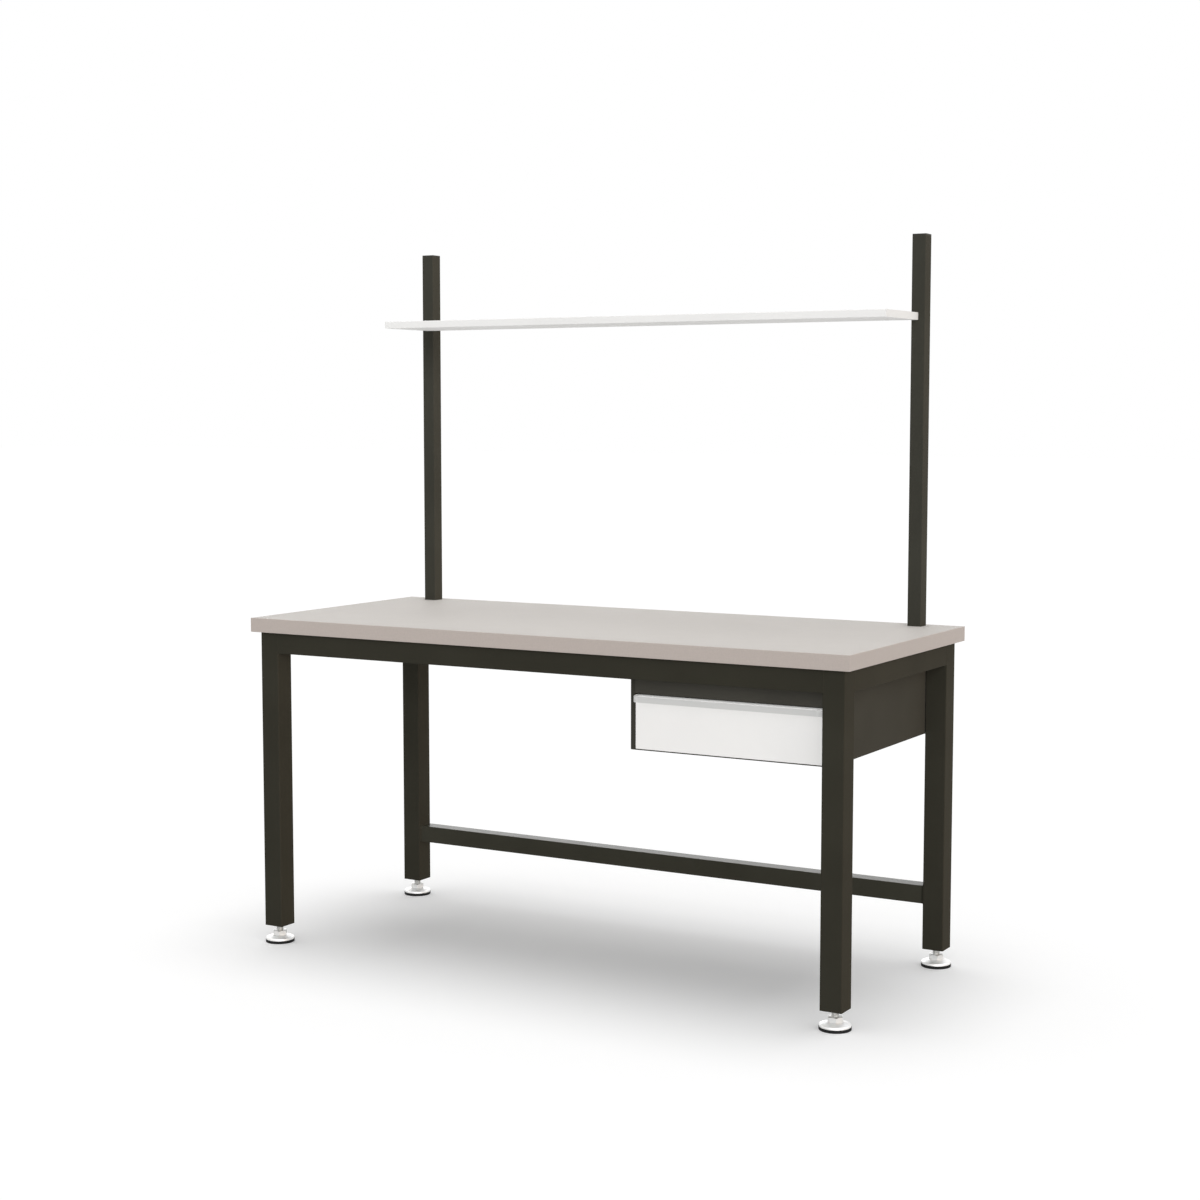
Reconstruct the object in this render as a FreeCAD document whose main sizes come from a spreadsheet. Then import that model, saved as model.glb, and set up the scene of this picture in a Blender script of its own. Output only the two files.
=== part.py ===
import FreeCAD, Part
import math
import os

import Sketcher

# Workbench on a tube frame, with one shelf on two uprights and one drawer on ball slides.
# Millimetres. X runs to the right, Y to the rear, Z up; the origin is on the floor under the middle.

driving_sizes = {
    # Tube frame
    "frame_width": 1800,
    "frame_depth": 750,
    "leg_length": 850,
    "leg_size": 60,
    "tube_wall": 2,
    "tube_bend": 0.5,
    "stretcher_size": 50,
    "stretcher_wall": 2,
    "stretcher_rise": 150,
    # Levelling feet
    "foot_height": 50,
    "pad_height": 8,
    "pad_recess": 3,
    "pad_lip": 1,
    "pad_gap": 0.2,
    "pad_chamfer": 1,
    "disc_diameter": 80,
    "disc_rim": 8.5,
    "disc_height": 14,
    "hub_diameter": 40,
    "pin_diameter": 14,
    "pin_length": 9,
    "pin_tip_gap": 1,
    "running_gap": 0.05,
    "hex_across": 36,
    "hex_height": 14,
    "stem_diameter": 20,
    "stem_reach": 72,
    "stem_chamfer": 2,
    "insert_thick": 10,
    "insert_corner_gap": 1,
    # Worktop
    "worktop_thick": 40,
    "worktop_overhang": 20,
    "laminate_thick": 1,
    "band_thick": 2,
    "band_round": 1.5,
    "rail_screw_inset": 200,
    "rail_screw_diameter": 6,
    "rail_screw_head": 12,
    "rail_screw_head_height": 4,
    "rail_screw_bite": 25,
    "rail_access_diameter": 16,
    "pilot_gap": 0.1,
    "screw_hole_gap": 0.25,
    "screw_tip_gap": 1,
    # Uprights
    "upright_inset": 100,
    "upright_height": 1060,
    "upright_size": 40,
    "upright_wall": 2,
    "upright_seat_gap": 0.2,
    "spigot_gap": 0.5,
    "spigot_wall": 2.5,
    "spigot_rise": 160,
    "spigot_clearance": 1,
    "bolt_diameter": 8,
    "bolt_head": 14,
    "bolt_head_height": 4.4,
    "bolt_low": 40,
    "bolt_high": 120,
    "bolt_hole_gap": 0.3,
    "thread_gap": 0.05,
    "cap_thick": 4,
    "cap_edge": 1,
    "cap_plug": 15,
    "cap_wall": 2,
    "cap_fit": 0.1,
    # Shelf
    "shelf_depth": 225,
    "shelf_thick": 20,
    "shelf_drop": 210,
    "shelf_sheet": 1.5,
    "shelf_bend": 2,
    "shelf_pan_flange": 6,
    "stiffener_width": 60,
    "stiffener_flange": 15,
    "stiffener_short": 60,
    "arm_size": 12,
    "arm_length": 195,
    "arm_tail": 8,
    "arm_tail_spare": 2,
    "arm_hole_gap": 0.2,
    "washer_diameter": 16,
    "washer_thick": 1.6,
    "nut_across": 13,
    "nut_height": 6.5,
    # Drawer cabinet
    "cabinet_width": 567,
    "cabinet_height": 252,
    "cabinet_side_gap": 0.5,
    "cabinet_end_gap": 0.5,
    "cabinet_sheet": 1.5,
    "cabinet_bend": 0.5,
    "cabinet_return": 12.5,
    "cabinet_flange": 25,
    "cabinet_screw_inset": 63,
    "cabinet_screw_diameter": 5,
    "cabinet_screw_head": 10,
    "cabinet_screw_head_height": 3,
    "cabinet_screw_bite": 22,
    "filler_return": 15,
    # Drawer
    "drawer_reveal": 1,
    "drawer_foot_gap": 1.5,
    "drawer_top_gap": 2,
    "drawer_front_height": 142.5,
    "drawer_front_depth": 18,
    "drawer_front_return": 34,
    "drawer_front_bend": 2,
    "drawer_sheet": 1.2,
    "box_rise": 6,
    "box_drop": 24.5,
    "box_rear_room": 58,
    "box_hem": 10,
    "small_screw_diameter": 3.5,
    "small_screw_head": 7,
    "small_screw_head_height": 2.5,
    "small_screw_gap": 0.15,
    "front_screw_inset": 14,
    "front_screw_drop": 24,
    "front_screw_spare": 2,
    # Grip strip along the drawer front's top
    "handle_depth": 22,
    "handle_height": 18,
    "handle_wall": 2.5,
    "handle_edge": 5,
    "handle_corner": 16,
    "handle_cap_straight": 2,
    "handle_screw_inset": 88,
    # Telescopic ball slides
    "slide_gap": 0.5,
    "slide_rise": 38,
    "slide_setback": 20,
    "slide_rear_room": 56,
    "slide_width": 12.7,
    "slide_height": 45,
    "slide_wall": 1.4,
    "slide_tip_gap": 1.7,
    "slide_support_margin": 3.5,
    "slide_middle_short": 30,
    "slide_inner_short": 5,
    "ball_diameter": 3.8,
    "ball_bite": 0.2,
    "groove_gap": 0.3,
    "cage_wall": 0.6,
    "cage_gap": 0.5,
    "cage_edge": 0.3,
    "cage_length": 240,
    "cage_start": 140,
    "cage_margin": 20,
}

balls_per_row = 5
hex_half_corner = 1 / math.sqrt(3)
hex_bevel = math.tan(math.radians(30))
head_crown = 0.75

doc = FreeCAD.newDocument("workbench")
sheet = doc.addObject("Spreadsheet::Sheet", "sizes")
for row, (alias, number) in enumerate(driving_sizes.items(), start=1):
    sheet.set("A%d" % row, alias)
    sheet.set("B%d" % row, str(number))
    sheet.setAlias("B%d" % row, alias)
doc.recompute()


class Size:
    """A length with its number now and the sheet expression that drives it."""

    def __init__(self, number, text):
        self.number = number
        self.text = text

    def join(self, sign, other, number):
        return Size(number, "(%s %s %s)" % (self.text, sign, other.text))

    def __add__(self, other):
        other = as_size(other)
        return self.join("+", other, self.number + other.number)

    def __sub__(self, other):
        other = as_size(other)
        return self.join("-", other, self.number - other.number)

    def __mul__(self, other):
        other = as_size(other)
        return self.join("*", other, self.number * other.number)

    def __truediv__(self, other):
        other = as_size(other)
        return self.join("/", other, self.number / other.number)

    def __neg__(self):
        return self * -1


def as_size(value):
    if isinstance(value, Size):
        return value
    return Size(float(value), repr(float(value)))


class SizeNames:
    """Gives each driving dimension by its name."""

    def __getattr__(self, alias):
        return Size(float(sheet.get(alias)), "sizes." + alias)


dim = SizeNames()
nodes = {}


# Drawing and solid helpers


def bind(item, path, size):
    item.setExpression(path, as_size(size).text)


def place(item, x, y, z, axis=(0, 0, 1), angle=0):
    turn = FreeCAD.Rotation(FreeCAD.Vector(*axis), angle)
    item.Placement = FreeCAD.Placement(FreeCAD.Vector(), turn)
    bind(item, "Placement.Base.x", x)
    bind(item, "Placement.Base.y", y)
    bind(item, "Placement.Base.z", z)
    return item


def node(item):
    nodes[item.Label] = item
    return item


def new_object(kind, label):
    item = doc.addObject(kind, label)
    item.Label = label
    return item


def new_body(label):
    return new_object("PartDesign::Body", label)


def group(label, members):
    compound = new_object("Part::Compound", label)
    compound.Links = members
    return node(compound)


def origin_feature(body, role):
    return next(item for item in body.Origin.OriginFeatures if item.Role == role)


def new_sketch(body, role, height=0):
    sketch = body.newObject("Sketcher::SketchObject", body.Name + "_sketch")
    sketch.AttachmentSupport = [(origin_feature(body, role), "")]
    sketch.MapMode = "FlatFace"
    bind(sketch, "AttachmentOffset.Base.z", height)
    return sketch


def constrain(sketch, rules):
    """Adds (constraint kind, where, size) rules; a size of None has no number."""
    first = sketch.ConstraintCount
    listed = []
    for kind, where, size in rules:
        numbers = [] if size is None else [size.number]
        listed.append(Sketcher.Constraint(kind, *where, *numbers))
    sketch.addConstraint(listed)
    for index, (kind, where, size) in enumerate(rules, start=first):
        if size is not None:
            bind(sketch, "Constraints[%d]" % index, size)


def point_rules(edge, end, x, y):
    return [("DistanceX", (-1, 1, edge, end), x), ("DistanceY", (-1, 1, edge, end), y)]


def draw_circle(sketch, x, y, radius):
    x, y, radius = as_size(x), as_size(y), as_size(radius)
    middle = FreeCAD.Vector(x.number, y.number, 0)
    edge = sketch.addGeometry(Part.Circle(middle, FreeCAD.Vector(0, 0, 1), radius.number))
    constrain(sketch, point_rules(edge, 3, x, y) + [("Radius", (edge,), radius)])


def flat_vector(point):
    return FreeCAD.Vector(point[0].number, point[1].number, 0)


def step_towards(corner, neighbour, radius):
    across = neighbour[0].number - corner[0].number
    up = neighbour[1].number - corner[1].number
    if abs(across) > abs(up):
        return (corner[0] + radius * math.copysign(1, across), corner[1])
    return (corner[0], corner[1] + radius * math.copysign(1, up))


def draw_outline(sketch, corners):
    """Closed outline through (x, y) corners; (x, y, radius) rounds a square corner."""
    corners = [tuple(as_size(value) for value in corner) for corner in corners]
    stops = []
    edges = []
    for index, corner in enumerate(corners):
        if len(corner) == 3:
            radius = corner[2]
            start = step_towards(corner, corners[index - 1], radius)
            end = step_towards(corner, corners[(index + 1) % len(corners)], radius)
            middle = flat_vector(start) + flat_vector(end) - flat_vector(corner)
            outward = flat_vector(corner) - middle
            crest = middle + outward.normalize() * radius.number
            stops.append(start)
            edges.append((crest, radius))
            stops.append(end)
        else:
            stops.append(corner)
        edges.append(None)
    rules = []
    ends = []
    for index, edge in enumerate(edges):
        start = flat_vector(stops[index])
        end = flat_vector(stops[(index + 1) % len(stops)])
        if edge is None:
            number = sketch.addGeometry(Part.LineSegment(start, end))
        else:
            number = sketch.addGeometry(Part.Arc(start, edge[0], end))
            rules.append(("Radius", (number,), edge[1]))
        forward = sketch.getPoint(number, 1).distanceToPoint(start) < 1e-6
        ends.append((number, 1, 2) if forward else (number, 2, 1))
    for index, stop in enumerate(stops):
        number, start, end = ends[index]
        last, last_start, last_end = ends[index - 1]
        rules.append(("Coincident", (last, last_end, number, start), None))
        rules += point_rules(number, start, stop[0], stop[1])
    constrain(sketch, rules)


def draw_rectangle(sketch, left, low, right, high):
    draw_outline(sketch, [(left, low), (right, low), (right, high), (left, high)])


def draw_square(sketch, size, radius, x=0, y=0):
    half = as_size(size) / 2
    left, right = as_size(x) - half, as_size(x) + half
    low, high = as_size(y) - half, as_size(y) + half
    corners = [(left, low), (right, low), (right, high), (left, high)]
    draw_outline(sketch, [corner + (radius,) for corner in corners])


def add_feature(body, kind, sketch):
    feature = body.newObject("PartDesign::" + kind, body.Name + "_" + kind.lower())
    feature.Profile = sketch
    return feature


def pad(body, sketch, length, reverse=False):
    feature = add_feature(body, "Pad", sketch)
    bind(feature, "Length", length)
    feature.Reversed = reverse
    return feature


def pocket(body, sketch, length, reverse=False):
    feature = add_feature(body, "Pocket", sketch)
    bind(feature, "Length", length)
    feature.Reversed = reverse
    return feature


def revolve(body, sketch, kind="Revolution"):
    feature = add_feature(body, kind, sketch)
    feature.ReferenceAxis = (sketch, ["V_Axis"])
    feature.Angle = 360
    return feature


def drill(body, role, height, places, radius, depth, reverse=False):
    sketch = new_sketch(body, role, height)
    for x, y in places:
        draw_circle(sketch, x, y, radius)
    return pocket(body, sketch, depth, reverse)


def edges_at_height(shape, height):
    """Names of the edges that lie flat at one height."""
    names = []
    for index, edge in enumerate(shape.Edges, start=1):
        box = edge.BoundBox
        if abs(box.ZMin - height) < 1e-4 and abs(box.ZMax - height) < 1e-4:
            names.append("Edge%d" % index)
    return names


def square_tube(label, role, size, wall, length):
    """Tube from the origin along +X, +Y or +Z, by the plane of its section."""
    body = new_body(label)
    sketch = new_sketch(body, role)
    draw_square(sketch, size, wall + dim.tube_bend)
    draw_square(sketch, size - wall * 2, dim.tube_bend)
    pad(body, sketch, length, reverse=role == "XZ_Plane")
    return body


def screw(label, head, head_height, shank, shank_length):
    """Screw with its head below and its shank above the local XY plane."""
    cap = new_object("Part::Cone", label + "_head")
    bind(cap, "Radius1", head / 2 * head_crown)
    bind(cap, "Radius2", head / 2)
    bind(cap, "Height", head_height)
    place(cap, 0, 0, -head_height)
    rod = new_object("Part::Cylinder", label + "_shank")
    bind(rod, "Radius", shank / 2)
    bind(rod, "Height", shank_length)
    whole = new_object("Part::Fuse", label)
    whole.Base = cap
    whole.Tool = rod
    return whole


# Heights, lines and corners that several pieces share

sides = {"left": -1, "right": 1}
ends = {"front": -1, "rear": 1}
corner_signs = {end + "_" + side: (sides[side], ends[end]) for end in ends for side in sides}

half_width = dim.frame_width / 2
half_depth = dim.frame_depth / 2
leg_x = half_width - dim.leg_size / 2
leg_y = half_depth - dim.leg_size / 2
rail_length = dim.frame_width - dim.leg_size * 2
side_rail_length = dim.frame_depth - dim.leg_size * 2
frame_top = dim.foot_height + dim.leg_length
rail_height = frame_top - dim.leg_size / 2

worktop_top = frame_top + dim.worktop_thick
worktop_half_x = half_width + dim.worktop_overhang
worktop_half_y = half_depth + dim.worktop_overhang

upright_x = half_width - dim.upright_inset
upright_y = leg_y
upright_front = upright_y - dim.upright_size / 2
upright_rear = upright_y + dim.upright_size / 2
upright_seat = worktop_top - dim.laminate_thick
upright_round = dim.upright_wall + dim.tube_bend
spigot_size = dim.upright_size - dim.upright_wall * 2 - dim.spigot_gap * 2

cabinet_right = half_width - dim.leg_size - dim.cabinet_side_gap
cabinet_left = cabinet_right - dim.cabinet_width
cabinet_middle = cabinet_right - dim.cabinet_width / 2
cabinet_front = dim.leg_size + dim.cabinet_end_gap - half_depth
cabinet_rear = -cabinet_front
cabinet_depth = cabinet_rear - cabinet_front
cabinet_bottom = frame_top - dim.cabinet_height

rail_screw_x = half_width - dim.rail_screw_inset
cabinet_screw_x = dim.cabinet_width / 2 - dim.cabinet_flange / 2
cabinet_screw_y = cabinet_rear - dim.cabinet_screw_inset
zero = as_size(0)
rail_screw_places = [
    (rail_screw_x * step, leg_y * end) for end in ends.values() for step in (-1, 0, 1)
] + [(leg_x * side, zero) for side in sides.values()]
cabinet_screw_places = [
    (cabinet_middle + cabinet_screw_x * side, cabinet_screw_y * step)
    for side in sides.values()
    for step in (-1, 0, 1)
]


# Legs, rails and stretcher

for corner, (side, end) in corner_signs.items():
    leg = square_tube("leg_" + corner, "XY_Plane", dim.leg_size, dim.tube_wall, dim.leg_length)
    node(place(leg, leg_x * side, leg_y * end, dim.foot_height))


def rail(label, role, length, screw_places):
    """Top rail with worktop screw holes in its top wall and access holes below them."""
    body = square_tube(label, role, dim.leg_size, dim.tube_wall, length)
    screw_hole = dim.rail_screw_diameter / 2 + dim.screw_hole_gap
    half = dim.leg_size / 2
    drill(body, "XY_Plane", half, screw_places, screw_hole, dim.tube_wall)
    access = dim.rail_access_diameter / 2
    drill(body, "XY_Plane", -half, screw_places, access, dim.tube_wall, reverse=True)
    return node(body)


long_rail_places = [(rail_length / 2 + rail_screw_x * step, zero) for step in (-1, 0, 1)]
for end, sign in ends.items():
    long_rail = rail("rail_" + end, "YZ_Plane", rail_length, long_rail_places)
    place(long_rail, -rail_length / 2, leg_y * sign, rail_height)
for side, sign in sides.items():
    side_rail = rail("rail_" + side, "XZ_Plane", side_rail_length, [(zero, side_rail_length / 2)])
    place(side_rail, leg_x * sign, -side_rail_length / 2, rail_height)

stretcher = square_tube(
    "stretcher_rear", "YZ_Plane", dim.stretcher_size, dim.stretcher_wall, rail_length
)
node(place(stretcher, -rail_length / 2, leg_y, dim.foot_height + dim.stretcher_rise))


# Levelling feet: threaded insert, stem with hexagon, disc and rubber pad

disc_bottom = dim.pad_height - dim.pad_recess
hub_top = disc_bottom + dim.disc_height
hex_top = hub_top + dim.hex_height
stem_top = dim.foot_height + dim.stem_reach


def leg_insert(label):
    body = new_body(label)
    sketch = new_sketch(body, "XY_Plane")
    inside = dim.leg_size - dim.tube_wall * 2
    draw_square(sketch, inside, dim.tube_bend + dim.insert_corner_gap)
    draw_circle(sketch, 0, 0, dim.stem_diameter / 2 + dim.running_gap)
    pad(body, sketch, dim.insert_thick)
    return body


def foot_stem(label):
    body = new_body(label)
    pin = dim.pin_diameter / 2
    rod = dim.stem_diameter / 2
    sketch = new_sketch(body, "XZ_Plane")
    draw_outline(sketch, [
        (0, hub_top - dim.pin_length),
        (pin, hub_top - dim.pin_length),
        (pin, hub_top),
        (rod, hub_top),
        (rod, stem_top - dim.stem_chamfer),
        (rod - dim.stem_chamfer, stem_top),
        (0, stem_top),
    ])
    revolve(body, sketch)
    corner = dim.hex_across * hex_half_corner
    flat = dim.hex_across / 2
    hexagon = new_sketch(body, "XY_Plane", hub_top)
    draw_outline(hexagon, [
        (corner, 0),
        (corner / 2, flat),
        (-corner / 2, flat),
        (-corner, 0),
        (-corner / 2, -flat),
        (corner / 2, -flat),
    ])
    pad(body, hexagon, dim.hex_height)
    bevel = (corner - flat) * hex_bevel
    corners_off = new_sketch(body, "XZ_Plane")
    for level, way in ((hub_top, 1), (hex_top, -1)):
        draw_outline(corners_off, [
            (flat, level),
            (corner, level + bevel * way),
            (corner + bevel, level + bevel * way),
            (corner + bevel, level),
        ])
    revolve(body, corners_off, "Groove")
    return body


def foot_disc(label):
    body = new_body(label)
    bore = dim.pin_diameter / 2 + dim.running_gap
    bore_bottom = hub_top - dim.pin_length - dim.pin_tip_gap
    rim = dim.disc_diameter / 2
    hub = dim.hub_diameter / 2
    sketch = new_sketch(body, "XZ_Plane")
    draw_outline(sketch, [
        (0, disc_bottom),
        (rim, disc_bottom),
        (rim, disc_bottom + dim.disc_rim),
        (hub, hub_top),
        (bore, hub_top),
        (bore, bore_bottom),
        (0, bore_bottom),
    ])
    revolve(body, sketch)
    return body


def foot_pad(label):
    body = new_body(label)
    recess = dim.disc_diameter / 2 + dim.pad_gap
    rim = recess + dim.pad_lip
    sketch = new_sketch(body, "XZ_Plane")
    draw_outline(sketch, [
        (0, 0),
        (rim - dim.pad_chamfer, 0),
        (rim, dim.pad_chamfer),
        (rim, dim.pad_height),
        (recess, dim.pad_height),
        (recess, disc_bottom),
        (0, disc_bottom),
    ])
    revolve(body, sketch)
    return body


inserts = []
for corner, (side, end) in corner_signs.items():
    insert = leg_insert("leg_insert_" + corner)
    inserts.append(place(insert, leg_x * side, leg_y * end, dim.foot_height))
    for make, name in ((foot_stem, "foot_stem_"), (foot_disc, "foot_disc_"), (foot_pad, "foot_pad_")):
        node(place(make(name + corner), leg_x * side, leg_y * end, 0))
group("leg_inserts", inserts)


# Worktop: core board, laminate, backing, edge bands and the screws from the rails

board_half_x = worktop_half_x - dim.band_thick
board_half_y = worktop_half_y - dim.band_thick
core_thick = dim.worktop_thick - dim.laminate_thick * 2
spigot_cutout = (spigot_size + dim.spigot_clearance * 2, dim.tube_bend)
upright_cutout = (dim.upright_size + dim.upright_seat_gap * 2, upright_round + dim.upright_seat_gap)


def worktop_layer(label, thick, bottom, cutout):
    """Sheet of the board's size with two square cut-outs of one size and corner radius."""
    body = new_body(label)
    sketch = new_sketch(body, "XY_Plane")
    draw_rectangle(sketch, -board_half_x, -board_half_y, board_half_x, board_half_y)
    for side in sides.values():
        draw_square(sketch, *cutout, upright_x * side, upright_y)
    pad(body, sketch, thick)
    place(body, 0, 0, bottom)
    return node(body)


def pilot_holes(body, places, diameter, depth):
    drill(body, "XY_Plane", 0, places, diameter / 2 + dim.pilot_gap, depth, reverse=True)


# The uprights stand on the core, in cut-outs of the laminate; the spigots pass through the rest.
backing = worktop_layer("worktop_backing", dim.laminate_thick, frame_top, spigot_cutout)
core = worktop_layer("worktop_core", core_thick, frame_top + dim.laminate_thick, spigot_cutout)
worktop_layer("worktop_laminate", dim.laminate_thick, upright_seat, upright_cutout)
for places, diameter, bite in (
    (rail_screw_places, dim.rail_screw_diameter, dim.rail_screw_bite),
    (cabinet_screw_places, dim.cabinet_screw_diameter, dim.cabinet_screw_bite),
):
    pilot_holes(backing, places, diameter, dim.laminate_thick)
    pilot_holes(core, places, diameter, bite + dim.screw_tip_gap)


def edge_band(label, length):
    """Strip along local X, its outer face at y 0 with both long edges rounded."""
    body = new_body(label)
    sketch = new_sketch(body, "YZ_Plane")
    draw_outline(sketch, [
        (0, 0, dim.band_round),
        (dim.band_thick, 0),
        (dim.band_thick, dim.worktop_thick),
        (0, dim.worktop_thick, dim.band_round),
    ])
    pad(body, sketch, length)
    return body


band_front = edge_band("edge_band_front", worktop_half_x * 2)
band_rear = edge_band("edge_band_rear", worktop_half_x * 2)
band_left = edge_band("edge_band_left", board_half_y * 2)
band_right = edge_band("edge_band_right", board_half_y * 2)
place(band_front, -worktop_half_x, -worktop_half_y, frame_top)
place(band_rear, worktop_half_x, worktop_half_y, frame_top, angle=180)
place(band_left, -worktop_half_x, board_half_y, frame_top, angle=-90)
place(band_right, worktop_half_x, -board_half_y, frame_top, angle=90)
group("worktop_edge_bands", [band_front, band_rear, band_left, band_right])

rail_screws = []
for index, (x, y) in enumerate(rail_screw_places):
    one = screw(
        "worktop_screw_%d" % index,
        dim.rail_screw_head,
        dim.rail_screw_head_height,
        dim.rail_screw_diameter,
        dim.tube_wall + dim.laminate_thick + dim.rail_screw_bite,
    )
    rail_screws.append(place(one, x, y, frame_top - dim.tube_wall))
group("worktop_screws", rail_screws)


# Uprights on spigots that are welded to the rear rail

shelf_top = worktop_top + dim.upright_height - dim.shelf_drop
shelf_bottom = shelf_top - dim.shelf_thick
arm_height = shelf_top - dim.shelf_sheet - dim.arm_size / 2
arm_x = upright_x - dim.shelf_sheet - dim.arm_size / 2
tube_length = dim.upright_height + dim.laminate_thick - dim.cap_thick
bolt_levels = (dim.bolt_low, dim.bolt_high)
cap_inside = dim.upright_size - dim.upright_wall * 2 - dim.cap_fit * 2


def upright_cap(label):
    """Plastic cap with a softened top edge and a hollow plug that enters the tube."""
    body = new_body(label)
    plate = new_sketch(body, "XY_Plane")
    draw_square(plate, dim.upright_size, upright_round)
    lid = pad(body, plate, dim.cap_thick)
    plug = new_sketch(body, "XY_Plane")
    draw_square(plug, cap_inside, dim.tube_bend)
    draw_square(plug, cap_inside - dim.cap_wall * 2, dim.tube_bend)
    skirt = pad(body, plug, dim.cap_plug, reverse=True)
    doc.recompute()
    edge = body.newObject("PartDesign::Fillet", label + "_fillet")
    edge.Base = (skirt, edges_at_height(skirt.Shape, dim.cap_thick.number))
    bind(edge, "Radius", dim.cap_edge)
    return body


caps = []
bolts = []
for side, sign in sides.items():
    spigot = square_tube(
        "spigot_" + side, "XY_Plane", spigot_size, dim.spigot_wall, dim.worktop_thick + dim.spigot_rise
    )
    thread_places = [(zero, dim.worktop_thick + level) for level in bolt_levels]
    thread = dim.bolt_diameter / 2 + dim.thread_gap
    drill(spigot, "XZ_Plane", -spigot_size / 2, thread_places, thread, dim.spigot_wall, reverse=True)
    node(place(spigot, upright_x * sign, upright_y, frame_top))

    upright = square_tube("upright_" + side, "XY_Plane", dim.upright_size, dim.upright_wall, tube_length)
    rear = -dim.upright_size / 2
    bolt_hole = dim.bolt_diameter / 2 + dim.bolt_hole_gap
    bolt_places = [(zero, dim.laminate_thick + level) for level in bolt_levels]
    drill(upright, "XZ_Plane", rear, bolt_places, bolt_hole, dim.upright_wall, reverse=True)
    arm_hole = dim.arm_tail / 2 + dim.arm_hole_gap
    arm_places = [((arm_x - upright_x) * sign, arm_height - upright_seat)]
    drill(upright, "XZ_Plane", rear, arm_places, arm_hole, dim.upright_size, reverse=True)
    node(place(upright, upright_x * sign, upright_y, upright_seat))

    cap = upright_cap("upright_cap_" + side)
    caps.append(place(cap, upright_x * sign, upright_y, upright_seat + tube_length))
    for level_name, level in zip(("low", "high"), bolt_levels):
        bolt = screw(
            "upright_bolt_%s_%s" % (side, level_name),
            dim.bolt_head,
            dim.bolt_head_height,
            dim.bolt_diameter,
            dim.upright_wall + dim.spigot_gap + dim.spigot_wall,
        )
        place(bolt, upright_x * sign, upright_rear, worktop_top + level, axis=(1, 0, 0), angle=90)
        bolts.append(bolt)
group("upright_caps", caps)
group("upright_bolts", bolts)


# Shelf: folded tray, bottom pan, stiffener, hidden arms and their nuts

shelf_length = upright_x * 2
shelf_front = upright_front - dim.shelf_depth
pan_length = shelf_length - dim.shelf_sheet * 2
pan_depth = dim.shelf_depth - dim.shelf_sheet * 2
arm_from_end = dim.shelf_sheet + dim.arm_size / 2

tray = new_body("shelf_tray")
tray_section = new_sketch(tray, "YZ_Plane")
draw_outline(tray_section, [
    (0, 0),
    (dim.shelf_depth, 0),
    (dim.shelf_depth, dim.shelf_thick, dim.shelf_bend),
    (0, dim.shelf_thick, dim.shelf_bend),
])
pad(tray, tray_section, shelf_length)
tray_hollow = new_sketch(tray, "XY_Plane")
draw_rectangle(
    tray_hollow,
    dim.shelf_sheet,
    dim.shelf_sheet,
    shelf_length - dim.shelf_sheet,
    dim.shelf_depth - dim.shelf_sheet,
)
pocket(tray, tray_hollow, dim.shelf_thick - dim.shelf_sheet, reverse=True)
tail_level = dim.shelf_thick - dim.shelf_sheet - dim.arm_size / 2
tail_places = [(arm_from_end, tail_level), (shelf_length - arm_from_end, tail_level)]
tail_hole = dim.arm_tail / 2 + dim.arm_hole_gap
drill(tray, "XZ_Plane", -dim.shelf_depth, tail_places, tail_hole, dim.shelf_sheet, reverse=True)
node(place(tray, -upright_x, shelf_front, shelf_bottom))

pan = new_body("shelf_bottom")
pan_plan = new_sketch(pan, "XY_Plane")
draw_rectangle(pan_plan, 0, 0, pan_length, pan_depth)
pad(pan, pan_plan, dim.shelf_pan_flange)
pan_hollow = new_sketch(pan, "XY_Plane", dim.shelf_sheet)
draw_rectangle(
    pan_hollow,
    dim.shelf_sheet,
    dim.shelf_sheet,
    pan_length - dim.shelf_sheet,
    pan_depth - dim.shelf_sheet,
)
pocket(pan, pan_hollow, dim.shelf_pan_flange - dim.shelf_sheet, reverse=True)
node(place(pan, -pan_length / 2, shelf_front + dim.shelf_sheet, shelf_bottom))

stiffener = new_body("shelf_stiffener")
hat = new_sketch(stiffener, "YZ_Plane")
hat_half = dim.stiffener_width / 2
hat_brim = hat_half + dim.stiffener_flange
hat_inside = hat_half - dim.shelf_sheet
hat_low = dim.shelf_sheet
hat_high = dim.shelf_thick - dim.shelf_sheet
draw_outline(hat, [
    (-hat_brim, hat_high),
    (-hat_brim, hat_high - dim.shelf_sheet),
    (-hat_half, hat_high - dim.shelf_sheet),
    (-hat_half, hat_low),
    (hat_half, hat_low),
    (hat_half, hat_high - dim.shelf_sheet),
    (hat_brim, hat_high - dim.shelf_sheet),
    (hat_brim, hat_high),
    (hat_inside, hat_high),
    (hat_inside, hat_low + dim.shelf_sheet),
    (-hat_inside, hat_low + dim.shelf_sheet),
    (-hat_inside, hat_high),
])
pad(stiffener, hat, shelf_length - dim.stiffener_short * 2)
node(place(
    stiffener, dim.stiffener_short - upright_x, shelf_front + dim.shelf_depth / 2, shelf_bottom
))

tail_length = (
    dim.shelf_sheet + dim.upright_size + dim.washer_thick + dim.nut_height + dim.arm_tail_spare
)


def shelf_arm(label):
    """Square bar along +Y that ends in a round threaded tail."""
    body = new_body(label)
    bar = new_sketch(body, "XZ_Plane")
    half = dim.arm_size / 2
    draw_rectangle(bar, -half, -half, half, half)
    pad(body, bar, dim.arm_length, reverse=True)
    tail = new_sketch(body, "XZ_Plane", -dim.arm_length)
    draw_circle(tail, 0, 0, dim.arm_tail / 2)
    pad(body, tail, tail_length, reverse=True)
    return body


def ring(label, blank, hole, height):
    """A blank along local Z with a round hole through it."""
    bore = new_object("Part::Cylinder", label + "_hole")
    bind(bore, "Radius", hole)
    bind(bore, "Height", height)
    whole = new_object("Part::Cut", label)
    whole.Base = blank
    whole.Tool = bore
    return whole


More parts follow.
